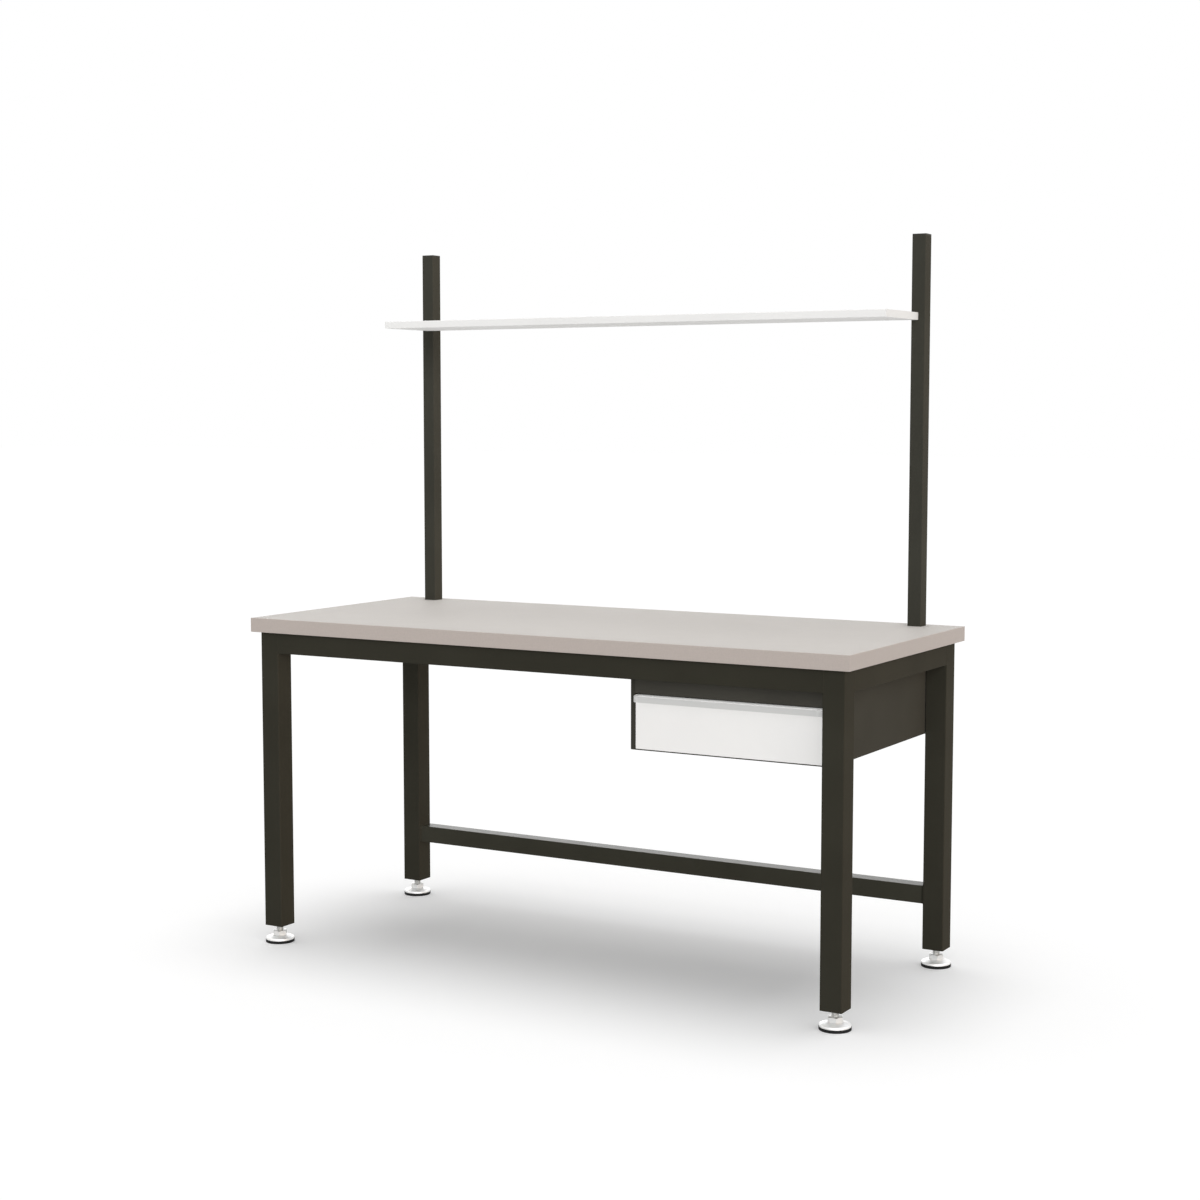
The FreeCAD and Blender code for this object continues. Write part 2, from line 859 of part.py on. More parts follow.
def washer(label):
    blank = new_object("Part::Cylinder", label + "_blank")
    bind(blank, "Radius", dim.washer_diameter / 2)
    bind(blank, "Height", dim.washer_thick)
    return ring(label, blank, tail_hole, dim.washer_thick)


def nut(label):
    blank = new_object("Part::Prism", label + "_blank")
    blank.Polygon = 6
    bind(blank, "Circumradius", dim.nut_across * hex_half_corner)
    bind(blank, "Height", dim.nut_height)
    return ring(label, blank, dim.arm_tail / 2 + dim.thread_gap, dim.nut_height)


arms = []
arm_fasteners = []
for side, sign in sides.items():
    arm = shelf_arm("shelf_arm_" + side)
    arm_front = upright_front - dim.shelf_sheet - dim.arm_length
    arms.append(place(arm, arm_x * sign, arm_front, arm_height))
    for piece, seat in (
        (washer("shelf_washer_" + side), upright_rear),
        (nut("shelf_nut_" + side), upright_rear + dim.washer_thick),
    ):
        place(piece, arm_x * sign, seat, arm_height, axis=(1, 0, 0), angle=-90)
        arm_fasteners.append(piece)
group("shelf_arms", arms)
group("shelf_nuts", arm_fasteners)


# Drawer cabinet: folded shell, back, filler band and screws into the worktop

shell = new_body("cabinet_shell")
shell_section = new_sketch(shell, "XZ_Plane")
wall = dim.cabinet_sheet
width = dim.cabinet_width
height = dim.cabinet_height
flange = dim.cabinet_flange
fold = dim.cabinet_bend
fold_outside = wall + fold
draw_outline(shell_section, [
    (0, 0, fold_outside),
    (width, 0, fold_outside),
    (width, height, fold_outside),
    (width - flange, height),
    (width - flange, height - wall),
    (width - wall, height - wall, fold),
    (width - wall, wall, fold),
    (wall, wall, fold),
    (wall, height - wall, fold),
    (flange, height - wall),
    (flange, height),
    (0, height, fold_outside),
])
pad(shell, shell_section, cabinet_depth, reverse=True)
returns = new_sketch(shell, "XZ_Plane")
for outside, inside in ((zero, dim.cabinet_return), (width, width - dim.cabinet_return)):
    draw_outline(returns, [
        (outside, 0, fold_outside),
        (inside, 0),
        (inside, height),
        (outside, height, fold_outside),
    ])
pad(shell, returns, wall, reverse=True)
shell_holes = [(x - cabinet_left, y - cabinet_front) for x, y in cabinet_screw_places]
flange_hole = dim.cabinet_screw_diameter / 2 + dim.screw_hole_gap
drill(shell, "XY_Plane", height, shell_holes, flange_hole, wall)
node(place(shell, cabinet_left, cabinet_front, cabinet_bottom))

back = new_body("cabinet_back")
back_face = new_sketch(back, "XZ_Plane")
draw_outline(back_face, [
    (wall, wall, fold),
    (width - wall, wall, fold),
    (width - wall, height - wall, fold),
    (wall, height - wall, fold),
])
pad(back, back_face, wall)
node(place(back, cabinet_left, cabinet_rear, cabinet_bottom))

front_bottom = cabinet_bottom + wall + dim.drawer_foot_gap
front_top = front_bottom + dim.drawer_front_height
filler_bottom = front_top + dim.drawer_top_gap
filler_width = width - dim.cabinet_return * 2
filler_height = frame_top - wall - filler_bottom

filler = new_body("cabinet_filler")
filler_section = new_sketch(filler, "YZ_Plane")
draw_outline(filler_section, [
    (0, 0, fold_outside),
    (dim.filler_return, 0),
    (dim.filler_return, wall),
    (wall, wall, fold),
    (wall, filler_height),
    (0, filler_height),
])
pad(filler, filler_section, filler_width)
node(place(filler, cabinet_left + dim.cabinet_return, cabinet_front, filler_bottom))

cabinet_screws = []
for index, (x, y) in enumerate(cabinet_screw_places):
    one = screw(
        "cabinet_screw_%d" % index,
        dim.cabinet_screw_head,
        dim.cabinet_screw_head_height,
        dim.cabinet_screw_diameter,
        wall + dim.laminate_thick + dim.cabinet_screw_bite,
    )
    cabinet_screws.append(place(one, x, y, frame_top - wall))
group("cabinet_screws", cabinet_screws)


# Drawer: front pan, box with hemmed rim, grip strip and screws

front_half = width / 2 - dim.cabinet_return - dim.drawer_reveal
box_half = width / 2 - dim.cabinet_return - dim.slide_gap - dim.slide_width
box_front = cabinet_front + dim.drawer_front_depth
box_length = cabinet_depth - dim.drawer_front_depth - dim.box_rear_room
box_bottom = front_bottom + dim.box_rise
box_height = dim.drawer_front_height - dim.box_rise - dim.box_drop
skin = dim.drawer_sheet

handle_bottom = dim.drawer_front_height - dim.handle_height
handle_screw_level = dim.drawer_front_height - dim.handle_height / 2
handle_screw_x = front_half - dim.handle_screw_inset
handle_screw_steps = [handle_screw_x * step for step in (-1, 0, 1)]
front_screw_x = box_half - dim.front_screw_inset
front_screw_levels = (dim.front_screw_inset, box_height - dim.front_screw_drop)
front_screw_steps = [
    (front_screw_x * side, level) for side in sides.values() for level in front_screw_levels
]
small_hole = dim.small_screw_diameter / 2 + dim.small_screw_gap
small_thread = dim.small_screw_diameter / 2 + dim.thread_gap

front = new_body("drawer_front")
front_plan = new_sketch(front, "XY_Plane")
draw_outline(front_plan, [
    (-front_half, 0, dim.drawer_front_bend),
    (front_half, 0, dim.drawer_front_bend),
    (front_half, dim.drawer_front_depth),
    (-front_half, dim.drawer_front_depth),
])
pad(front, front_plan, dim.drawer_front_height)
front_hollow = new_sketch(front, "XZ_Plane", -skin)
draw_rectangle(
    front_hollow, skin - front_half, skin, front_half - skin, dim.drawer_front_height - skin
)
pocket(front, front_hollow, dim.drawer_front_depth - skin * 2)
front_mouth = new_sketch(front, "XZ_Plane", -dim.drawer_front_depth)
mouth_half = front_half - dim.drawer_front_return
draw_rectangle(
    front_mouth,
    -mouth_half,
    dim.drawer_front_return,
    mouth_half,
    dim.drawer_front_height - dim.drawer_front_return,
)
pocket(front, front_mouth, skin, reverse=True)
handle_places = [(x, handle_screw_level) for x in handle_screw_steps]
drill(front, "XZ_Plane", 0, handle_places, small_hole, skin)
return_places = [(x, dim.box_rise + level) for x, level in front_screw_steps]
drill(front, "XZ_Plane", -dim.drawer_front_depth, return_places, small_thread, skin, reverse=True)
node(place(front, cabinet_middle, cabinet_front, front_bottom))

box = new_body("drawer_box")
box_plan = new_sketch(box, "XY_Plane")
draw_rectangle(box_plan, -box_half, 0, box_half, box_length)
pad(box, box_plan, box_height)
rim_plan = new_sketch(box, "XY_Plane", box_height)
draw_rectangle(rim_plan, skin * 2 - box_half, skin * 2, box_half - skin * 2, box_length - skin * 2)
pocket(box, rim_plan, box_height - skin)
wall_plan = new_sketch(box, "XY_Plane", box_height - dim.box_hem)
draw_rectangle(wall_plan, skin - box_half, skin, box_half - skin, box_length - skin)
pocket(box, wall_plan, box_height - dim.box_hem - skin)
drill(box, "XZ_Plane", 0, front_screw_steps, small_hole, skin)
node(place(box, cabinet_middle, box_front, box_bottom))

cap_length = dim.handle_corner + dim.handle_cap_straight
strip_length = front_half * 2 - cap_length * 2

strip = new_body("drawer_handle")
strip_section = new_sketch(strip, "YZ_Plane")
draw_outline(strip_section, [
    (0, 0),
    (0, dim.handle_height),
    (-dim.handle_depth, dim.handle_height, dim.handle_edge),
    (-dim.handle_depth, 0),
    (dim.handle_wall - dim.handle_depth, 0),
    (
        dim.handle_wall - dim.handle_depth,
        dim.handle_height - dim.handle_wall,
        dim.handle_edge - dim.handle_wall,
    ),
    (-dim.handle_wall, dim.handle_height - dim.handle_wall),
    (-dim.handle_wall, 0),
])
pad(strip, strip_section, strip_length)
strip_places = [(strip_length / 2 + x, dim.handle_height / 2) for x in handle_screw_steps]
drill(strip, "XZ_Plane", 0, strip_places, small_thread, dim.handle_wall, reverse=True)
node(place(strip, cabinet_middle - strip_length / 2, cabinet_front, front_bottom + handle_bottom))


def handle_end_cap(label, sign):
    """Moulded end that carries the strip's section round to the drawer front's side."""
    body = new_body(label)
    plan = new_sketch(body, "XY_Plane")
    draw_outline(plan, [
        (0, 0),
        (0, -dim.handle_depth),
        (cap_length * sign, -dim.handle_depth, dim.handle_corner),
        (cap_length * sign, 0),
    ])
    block = pad(body, plan, dim.handle_height)
    doc.recompute()
    round_over = body.newObject("PartDesign::Fillet", label + "_fillet")
    outer = []
    for name in edges_at_height(block.Shape, dim.handle_height.number):
        middle = block.Shape.getElement(name).CenterOfMass
        if abs(middle.x) > 1e-4 and abs(middle.y) > 1e-4:
            outer.append(name)
    round_over.Base = (block, outer)
    bind(round_over, "Radius", dim.handle_edge)
    hollow = new_sketch(body, "XY_Plane")
    inner = (cap_length - dim.handle_wall) * sign
    draw_outline(hollow, [
        (0, -dim.handle_wall),
        (0, dim.handle_wall - dim.handle_depth),
        (inner, dim.handle_wall - dim.handle_depth, dim.handle_corner - dim.handle_wall),
        (inner, -dim.handle_wall),
    ])
    pocket(body, hollow, dim.handle_height - dim.handle_wall, reverse=True)
    return body


end_caps = []
for side, sign in sides.items():
    end_cap = handle_end_cap("handle_end_cap_" + side, sign)
    x = cabinet_middle + strip_length / 2 * sign
    end_caps.append(place(end_cap, x, cabinet_front, front_bottom + handle_bottom))
group("handle_end_caps", end_caps)


def small_screws(label, places, shank_length):
    """Small screws that all point to the front."""
    members = []
    for index, (x, y, z) in enumerate(places):
        one = screw(
            "%s_%d" % (label, index),
            dim.small_screw_head,
            dim.small_screw_head_height,
            dim.small_screw_diameter,
            shank_length,
        )
        members.append(place(one, x, y, z, axis=(1, 0, 0), angle=90))
    group(label, members)


small_screws(
    "handle_screws",
    [(cabinet_middle + x, cabinet_front + skin, front_bottom + z) for x, z in handle_places],
    skin + dim.handle_wall,
)
small_screws(
    "drawer_front_screws",
    [(cabinet_middle + x, box_front + skin, box_bottom + z) for x, z in front_screw_steps],
    skin * 2 + dim.front_screw_spare,
)


# Telescopic ball slides: support, three members and two ball cages on each side

slide_length = cabinet_depth - dim.slide_setback - dim.slide_rear_room
slide_front = cabinet_front + dim.slide_setback
slide_level = box_bottom + dim.slide_rise
support_depth = dim.cabinet_return - wall + dim.slide_gap
support_half = dim.slide_height / 2 + dim.slide_support_margin

race = dim.ball_diameter - dim.ball_bite * 2
outer_half = dim.slide_height / 2
middle_half = outer_half - dim.slide_wall - race
inner_half = middle_half - dim.slide_wall - race
outer_ball_level = middle_half + race / 2
inner_ball_level = inner_half + race / 2
member_tip = dim.slide_width - dim.slide_tip_gap
outer_cage_web = dim.slide_wall + dim.cage_gap
middle_web = outer_cage_web + dim.cage_wall + dim.cage_gap
inner_cage_web = middle_web + dim.slide_wall + dim.cage_gap
inner_tip = inner_cage_web + dim.cage_wall + dim.cage_gap
outer_ball_reach = (middle_web + member_tip) / 2
inner_ball_reach = (inner_tip + member_tip) / 2
groove = dim.ball_diameter / 2 + dim.groove_gap


def channel(label, side, web, tip, half, gauge, length):
    """C-shaped member along +Y: web at one reach from the support, flanges out to the tip."""
    body = new_body(label)
    sketch = new_sketch(body, "XZ_Plane")
    inward = 1 if tip.number > web.number else -1
    web, tip = web * side, tip * side
    face = web + gauge * (inward * side)
    draw_outline(sketch, [
        (web, -half, gauge),
        (tip, -half),
        (tip, gauge - half),
        (face, gauge - half),
        (face, half - gauge),
        (tip, half - gauge),
        (tip, half),
        (web, half, gauge),
    ])
    pad(body, sketch, length, reverse=True)
    return body


def ball_races(body, side, tracks, length):
    """Round-bottomed tracks along a member, above and below its middle."""
    places = [(reach * side, level * way) for reach, level in tracks for way in (-1, 1)]
    drill(body, "XZ_Plane", 0, places, groove, length)


def ball_cage(label, side, web, ball_reach, ball_level):
    """Thin channel that holds an upper and a lower row of balls."""
    tip = ball_reach + dim.ball_diameter / 2 + dim.cage_edge
    half = ball_level + dim.cage_wall / 2
    body = channel(label, side, web, tip, half, dim.cage_wall, dim.cage_length)
    rows = []
    for way in (-1, 1):
        ball = body.newObject("PartDesign::AdditiveSphere", label + "_ball")
        ball.AttachmentSupport = [(origin_feature(body, "XY_Plane"), "")]
        ball.MapMode = "FlatFace"
        bind(ball, "Radius", dim.ball_diameter / 2)
        bind(ball, "AttachmentOffset.Base.x", ball_reach * side)
        bind(ball, "AttachmentOffset.Base.y", dim.cage_margin)
        bind(ball, "AttachmentOffset.Base.z", ball_level * way)
        rows.append(ball)
    pattern = body.newObject("PartDesign::LinearPattern", label + "_row")
    pattern.Originals = rows
    pattern.Direction = (origin_feature(body, "Y_Axis"), [""])
    bind(pattern, "Length", dim.cage_length - dim.cage_margin * 2)
    pattern.Occurrences = balls_per_row
    body.Tip = pattern
    return body


outer_track = (outer_ball_reach, outer_ball_level)
inner_track = (inner_ball_reach, inner_ball_level)
for side, sign in sides.items():
    inward = -sign
    support_face = cabinet_middle + (dim.cabinet_width / 2 - wall - support_depth) * sign

    support = channel(
        "slide_support_" + side, inward, zero, -support_depth, support_half, wall, slide_length
    )
    outer = channel(
        "slide_outer_" + side, inward, zero, member_tip, outer_half, dim.slide_wall, slide_length
    )
    ball_races(outer, inward, [outer_track], slide_length)
    middle_length = slide_length - dim.slide_middle_short
    middle = channel(
        "slide_middle_" + side, inward, middle_web, member_tip, middle_half, dim.slide_wall, middle_length
    )
    ball_races(middle, inward, [outer_track, inner_track], middle_length)
    inner_length = slide_length - dim.slide_inner_short
    inner = channel(
        "slide_inner_" + side, inward, dim.slide_width, inner_tip, inner_half, dim.slide_wall, inner_length
    )
    ball_races(inner, inward, [inner_track], inner_length)
    for piece in (support, outer, middle, inner):
        node(place(piece, support_face, slide_front, slide_level))

    outer_cage = ball_cage("cage_outer_" + side, inward, outer_cage_web, *outer_track)
    inner_cage = ball_cage("cage_inner_" + side, inward, inner_cage_web, *inner_track)
    for cage in (outer_cage, inner_cage):
        node(place(cage, support_face, slide_front + dim.cage_start, slide_level))


# Every piece has to be whole before any is written

doc.recompute()
for item in doc.Objects:
    if "Invalid" in item.State or "Error" in item.State:
        raise RuntimeError("failed object: " + item.Label)
for label, item in nodes.items():
    if item.Shape.isNull() or not item.Shape.isValid():
        raise RuntimeError("bad shape: " + label)

os.makedirs("parts", exist_ok=True)
for label, item in nodes.items():
    item.Shape.exportStep("parts/%s.step" % label)
print("pieces written:", len(nodes))
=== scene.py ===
import math

import bmesh
import bpy
import numpy as np
from mathutils import Euler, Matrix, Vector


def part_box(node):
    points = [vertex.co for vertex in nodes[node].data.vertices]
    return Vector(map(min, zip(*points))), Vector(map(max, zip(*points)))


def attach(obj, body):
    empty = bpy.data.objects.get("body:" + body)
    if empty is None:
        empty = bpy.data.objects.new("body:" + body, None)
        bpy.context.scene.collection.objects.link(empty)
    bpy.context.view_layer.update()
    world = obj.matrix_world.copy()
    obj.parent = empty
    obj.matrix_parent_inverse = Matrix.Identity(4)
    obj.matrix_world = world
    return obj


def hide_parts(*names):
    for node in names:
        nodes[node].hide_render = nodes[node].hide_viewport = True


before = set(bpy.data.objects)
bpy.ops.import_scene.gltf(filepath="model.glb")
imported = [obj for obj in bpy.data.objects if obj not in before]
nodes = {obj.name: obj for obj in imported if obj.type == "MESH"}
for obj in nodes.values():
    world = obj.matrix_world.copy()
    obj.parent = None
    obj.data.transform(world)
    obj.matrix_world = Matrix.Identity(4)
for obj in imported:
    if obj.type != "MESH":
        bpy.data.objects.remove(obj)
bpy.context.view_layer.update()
scene = bpy.context.scene
scene.view_settings.view_transform = "Standard"
mm = 0.001
corners = ("front_left", "front_right", "rear_left", "rear_right")
sides = ("left", "right")
print("frame loaded:", len(nodes), "nodes")


# Camera at the photograph's viewpoint

view = {
    "place": (2.908, -5.0381, 1.5277), "azimuth": 30.01, "elevation": 5.17,
    "focalPx": 2098.5, "framePx": 1200, "sensor": 36, "clipEnd": 300}


def addCamera(spec):
    lens = bpy.data.cameras.new("view")
    lens.sensor_width = spec["sensor"]
    lens.sensor_fit = "HORIZONTAL"
    lens.lens = spec["sensor"] * spec["focalPx"] / spec["framePx"]
    lens.clip_end = spec["clipEnd"]
    camera = bpy.data.objects.new("view", lens)
    scene.collection.objects.link(camera)
    camera.location = spec["place"]
    tilt = math.radians(90 - spec["elevation"])
    camera.rotation_euler = Euler((tilt, 0, math.radians(spec["azimuth"])))
    scene.camera = camera


addCamera(view)
print("camera set")


# Node helpers for the finishes

noiseWindow = (0.3, 0.7)  # a noise seldom leaves this stretch of 0 to 1
mixSockets = {"share": 0, "first": 6, "second": 7, "mixed": 2}  # by position, because the names repeat


class Finish:
    # one material: helpers that add its nodes, and set, which feeds its shader
    def __init__(self, name):
        self.material = bpy.data.materials.new(name)
        self.material.use_nodes = True
        self.tree = self.material.node_tree
        self.shader = self.tree.nodes["Principled BSDF"]
        self.place = self.add("ShaderNodeTexCoord").outputs

    def add(self, kind, **inputs):
        node = self.tree.nodes.new(kind)
        for socket, value in inputs.items():
            self.feed(node, socket, value)
        return node

    def feed(self, node, socket, value):
        if isinstance(value, bpy.types.NodeSocket):
            self.tree.links.new(value, node.inputs[socket])
        else:
            node.inputs[socket].default_value = value

    def set(self, **inputs):
        for socket, value in inputs.items():
            self.feed(self.shader, socket.replace("_", " "), value)

    def noise(self, scale, detail, stretch=None):
        place = self.place["Object"]
        if stretch:
            place = self.add("ShaderNodeMapping", Vector=place, Scale=stretch).outputs["Vector"]
        return self.add("ShaderNodeTexNoise", Vector=place, Scale=scale, Detail=detail).outputs["Fac"]

    def cells(self, scale):
        return self.add("ShaderNodeTexVoronoi", Vector=self.place["Object"], Scale=scale).outputs["Color"]

    def span(self, value, low=0, high=1, window=noiseWindow):
        # the window's stretch of the value, spread from low to high
        node = self.add("ShaderNodeMapRange", Value=value)
        for socket, number in zip(("From Min", "From Max", "To Min", "To Max"), (*window, low, high)):
            node.inputs[socket].default_value = number
        return node.outputs["Result"]

    def blend(self, share, first, second):
        node = self.add("ShaderNodeMix")
        node.data_type = "RGBA"
        self.feed(node, mixSockets["share"], share)
        for socket, colour in (("first", first), ("second", second)):
            value = colour if isinstance(colour, bpy.types.NodeSocket) else (*colour, 1)
            self.feed(node, mixSockets[socket], value)
        return node.outputs[mixSockets["mixed"]]

    def tinted(self, share, spec):
        # from the colour a shade darker to the colour a shade paler
        darker = [channel * (1 - spec["shade"]) for channel in spec["colour"]]
        paler = [channel * (1 + spec["shade"]) for channel in spec["colour"]]
        return self.blend(share, darker, paler)

    def bump(self, height, depth):
        return self.add("ShaderNodeBump", Height=height, Distance=depth).outputs["Normal"]


# Powder coats: what the dark ones share, what the pale ones share, and each paint's own values

darkCoat = {
    "shade": 0.06, "cloud": 7, "drift": 4, "peel": 620, "peelDepth": 0.06 * mm, "rough": (0.36, 0.46),
    "gloss": 0.003}
paleCoat = {
    "shade": 0.012, "cloud": 6, "drift": 4, "peel": 700, "peelDepth": 0.05 * mm, "rough": (0.40, 0.50)}


def powderCoat(name, spec):
    # orange-peel bump, slow cloudiness in colour, roughness that drifts over the panel
    finish = Finish(name)
    cloud = finish.span(finish.noise(spec["cloud"], detail=4))
    peel = finish.noise(spec["peel"], detail=3)
    drift = finish.noise(spec["cloud"] * spec["drift"], detail=3)
    finish.set(
        Base_Color=finish.tinted(cloud, spec), Roughness=finish.span(drift, *spec["rough"]),
        Normal=finish.bump(peel, spec["peelDepth"]), Specular_IOR_Level=spec["gloss"])
    return finish.material


framePaint = powderCoat("frame paint", {
    **darkCoat, "colour": (0.0320, 0.0309, 0.0236), "shade": 0.07, "cloud": 6, "rough": (0.30, 0.40)})
# a paler copy of the frame paint: painted light that lifts the stretcher out of the worktop's shade; its
# gloss gives a real sheen on its top
stretcherPaintWithPaintedLight = powderCoat("stretcher paint with painted light", {
    **darkCoat, "colour": (0.0385, 0.0378, 0.0288), "shade": 0.07, "cloud": 6, "peelDepth": 0.01 * mm,
    "rough": (0.27, 0.30), "gloss": 0.022})
uprightPaint = powderCoat("upright paint", {**darkCoat, "colour": (0.0440, 0.0440, 0.0362)})
cabinetPaint = powderCoat("cabinet paint", {**darkCoat, "colour": (0.0412, 0.0408, 0.0338)})
# a paler copy of the cabinet paint: painted light that offsets the shade of its recess under the rail
fillerPaintWithPaintedLight = powderCoat("filler paint with painted light", {
    **darkCoat, "colour": (0.0600, 0.0570, 0.0480), "gloss": 0.025})
shelfPaint = powderCoat("shelf paint", {
    **paleCoat, "colour": (0.83, 0.83, 0.82), "cloud": 5, "peelDepth": 0.02 * mm, "rough": (0.60, 0.70),
    "gloss": 0.02})
drawerPaint = powderCoat("drawer front paint", {
    **paleCoat, "colour": (0.870, 0.862, 0.848), "gloss": 0.25})
boxPaint = powderCoat("drawer box paint", {
    **paleCoat, "colour": (0.52, 0.52, 0.51), "shade": 0.02, "gloss": 0.35})


# Worktop: laminate, edge band and chipboard

laminate = {
    "colour": (0.526, 0.504, 0.480), "shade": 0.015, "cloud": 4, "drift": 6, "fleck": 900,
    "fleckColour": (0.496, 0.473, 0.450), "fleckWindow": (0.42, 0.62), "stipple": 1500,
    "stippleDepth": 0.04 * mm, "rough": (0.62, 0.72), "gloss": 0.02}
edgeBand = {
    "colour": (0.440, 0.388, 0.356), "shade": 0.03, "grain": 260, "marks": 420, "markStretch": (1, 1, 0.06),
    "depth": 0.03 * mm, "rough": (0.42, 0.52), "gloss": 0.25}
chipboard = {
    "chips": 420, "dark": (0.30, 0.19, 0.09), "pale": (0.62, 0.47, 0.28), "depth": 0.4 * mm, "rough": 0.85}


def makeLaminate(spec):
    # pale sheet with clouds, soft flecks and a pressed stipple
    finish = Finish("worktop laminate")
    cloud = finish.span(finish.noise(spec["cloud"], detail=5))
    fleck = finish.span(finish.noise(spec["fleck"], detail=2), window=spec["fleckWindow"])
    stipple = finish.noise(spec["stipple"], detail=2)
    drift = finish.noise(spec["cloud"] * spec["drift"], detail=3)
    finish.set(
        Base_Color=finish.blend(fleck, finish.tinted(cloud, spec), spec["fleckColour"]),
        Roughness=finish.span(drift, *spec["rough"]),
        Normal=finish.bump(stipple, spec["stippleDepth"]), Specular_IOR_Level=spec["gloss"])
    return finish.material


def makeEdgeBand(spec):
    # plastic strip with faint scraper marks across its height
    finish = Finish("edge band")
    grain = finish.span(finish.noise(spec["grain"], detail=3))
    marks = finish.noise(spec["marks"], detail=2, stretch=spec["markStretch"])
    finish.set(
        Base_Color=finish.tinted(grain, spec), Roughness=finish.span(marks, *spec["rough"]),
        Normal=finish.bump(marks, spec["depth"]), Specular_IOR_Level=spec["gloss"])
    return finish.material


def makeChipboard(spec):
    # each cell is one chip, with a tone of its own that is its height too
    finish = Finish("chipboard")
    tone = finish.add("ShaderNodeSeparateColor", Color=finish.cells(spec["chips"])).outputs["Red"]
    finish.set(
        Base_Color=finish.blend(tone, spec["dark"], spec["pale"]), Roughness=spec["rough"],
        Normal=finish.bump(tone, spec["depth"]))
    return finish.material


worktopLaminate = makeLaminate(laminate)
bandPlastic = makeEdgeBand(edgeBand)
coreBoard = makeChipboard(chipboard)


# Grip strip

# the pale colour on upward faces is a painted highlight on the grip's top
extrusion = {
    "colour": (0.57, 0.57, 0.56), "shade": 0.03, "paintedHighlightColour": (0.93, 0.93, 0.92), "paintedHighlightWindow": (0.35, 0.65),
    "lines": 1400, "lineStretch": (0.004, 1, 1), "depth": 0.02 * mm, "metal": 0.25, "rough": (0.36, 0.48),
    "gloss": 0.4}


def anodised(spec):
    # satin with die lines along X, and a painted highlight: faces that point up are paler
    finish = Finish("handle extrusion")
    lines = finish.noise(spec["lines"], detail=3, stretch=spec["lineStretch"])
    satin = finish.tinted(finish.span(lines), spec)
    facing = finish.add("ShaderNodeSeparateXYZ", Vector=finish.place["Normal"])
    # faces that point up blend to the pale colour: painted highlight
    paintedHighlight = finish.span(facing.outputs["Z"], window=spec["paintedHighlightWindow"])
    finish.set(
        Base_Color=finish.blend(paintedHighlight, satin, spec["paintedHighlightColour"]), Metallic=spec["metal"],
        Roughness=finish.span(lines, *spec["rough"]),
        Normal=finish.bump(lines, spec["depth"]), Specular_IOR_Level=spec["gloss"])
    return finish.material


handleFinish = anodised(extrusion)


# Moulded plastics and rubber

moulding = {"shade": 0.03, "cloud": 40, "grain": 1800, "depth": 0.03 * mm}


def mouldedPlastic(name, spec):
    # faint clouds in colour, and the mould's fine grain in height and roughness
    finish = Finish(name)
    grain = finish.noise(spec["grain"], detail=3)
    cloud = finish.span(finish.noise(spec["cloud"], detail=3))
    finish.set(
        Base_Color=finish.tinted(cloud, spec), Roughness=finish.span(grain, *spec["rough"]),
        Normal=finish.bump(grain, spec["depth"]), Specular_IOR_Level=spec["gloss"])
    return finish.material


handleCapPlastic = mouldedPlastic("handle cap plastic", {
    **moulding, "colour": (0.62, 0.62, 0.61), "rough": (0.40, 0.52), "gloss": 0.35})
tubeCapPlastic = mouldedPlastic("tube cap plastic", {
    **moulding, "colour": (0.032, 0.031, 0.026), "depth": 0.04 * mm, "rough": (0.45, 0.58), "gloss": 0.2})
cagePlastic = mouldedPlastic("ball cage plastic", {
    **moulding, "colour": (0.20, 0.20, 0.20), "rough": (0.40, 0.50), "gloss": 0.4})
rubber = mouldedPlastic("foot rubber", {
    **moulding, "colour": (0.012, 0.012, 0.012), "grain": 1300, "depth": 0.08 * mm, "rough": (0.62, 0.78),
    "gloss": 0.2})


# Plated and bare steel

plating = {"patch": 55, "grain": 900, "rough": (0.50, 0.62), "depth": 0.02 * mm}


def zincPlate(name, spec):
    # plated steel: faint blue and straw patches, dull grain under the shine
    finish = Finish(name)
    patch = finish.span(finish.noise(spec["patch"], detail=4))
    grain = finish.noise(spec["grain"], detail=3)
    finish.set(
        Base_Color=finish.blend(patch, spec["blue"], spec["straw"]), Metallic=1,
        Roughness=finish.span(grain, *spec["rough"]), Normal=finish.bump(grain, spec["depth"]))
    return finish.material


brightZinc = zincPlate("bright zinc", {**plating, "blue": (0.88, 0.89, 0.90), "straw": (0.91, 0.90, 0.88)})
stemZinc = zincPlate("stem zinc", {**plating, "blue": (0.70, 0.71, 0.71), "straw": (0.74, 0.73, 0.71)})
slideZinc = zincPlate("slide zinc", {
    **plating, "blue": (0.62, 0.63, 0.64), "straw": (0.68, 0.67, 0.64), "patch": 30, "grain": 700,
    "rough": (0.26, 0.38)})
ballSteel = zincPlate("ball steel", {
    **plating, "blue": (0.70, 0.70, 0.71), "straw": (0.73, 0.73, 0.72), "patch": 80, "grain": 1500,
    "rough": (0.08, 0.14), "depth": 0.005 * mm})
print("finishes made:", len(bpy.data.materials))


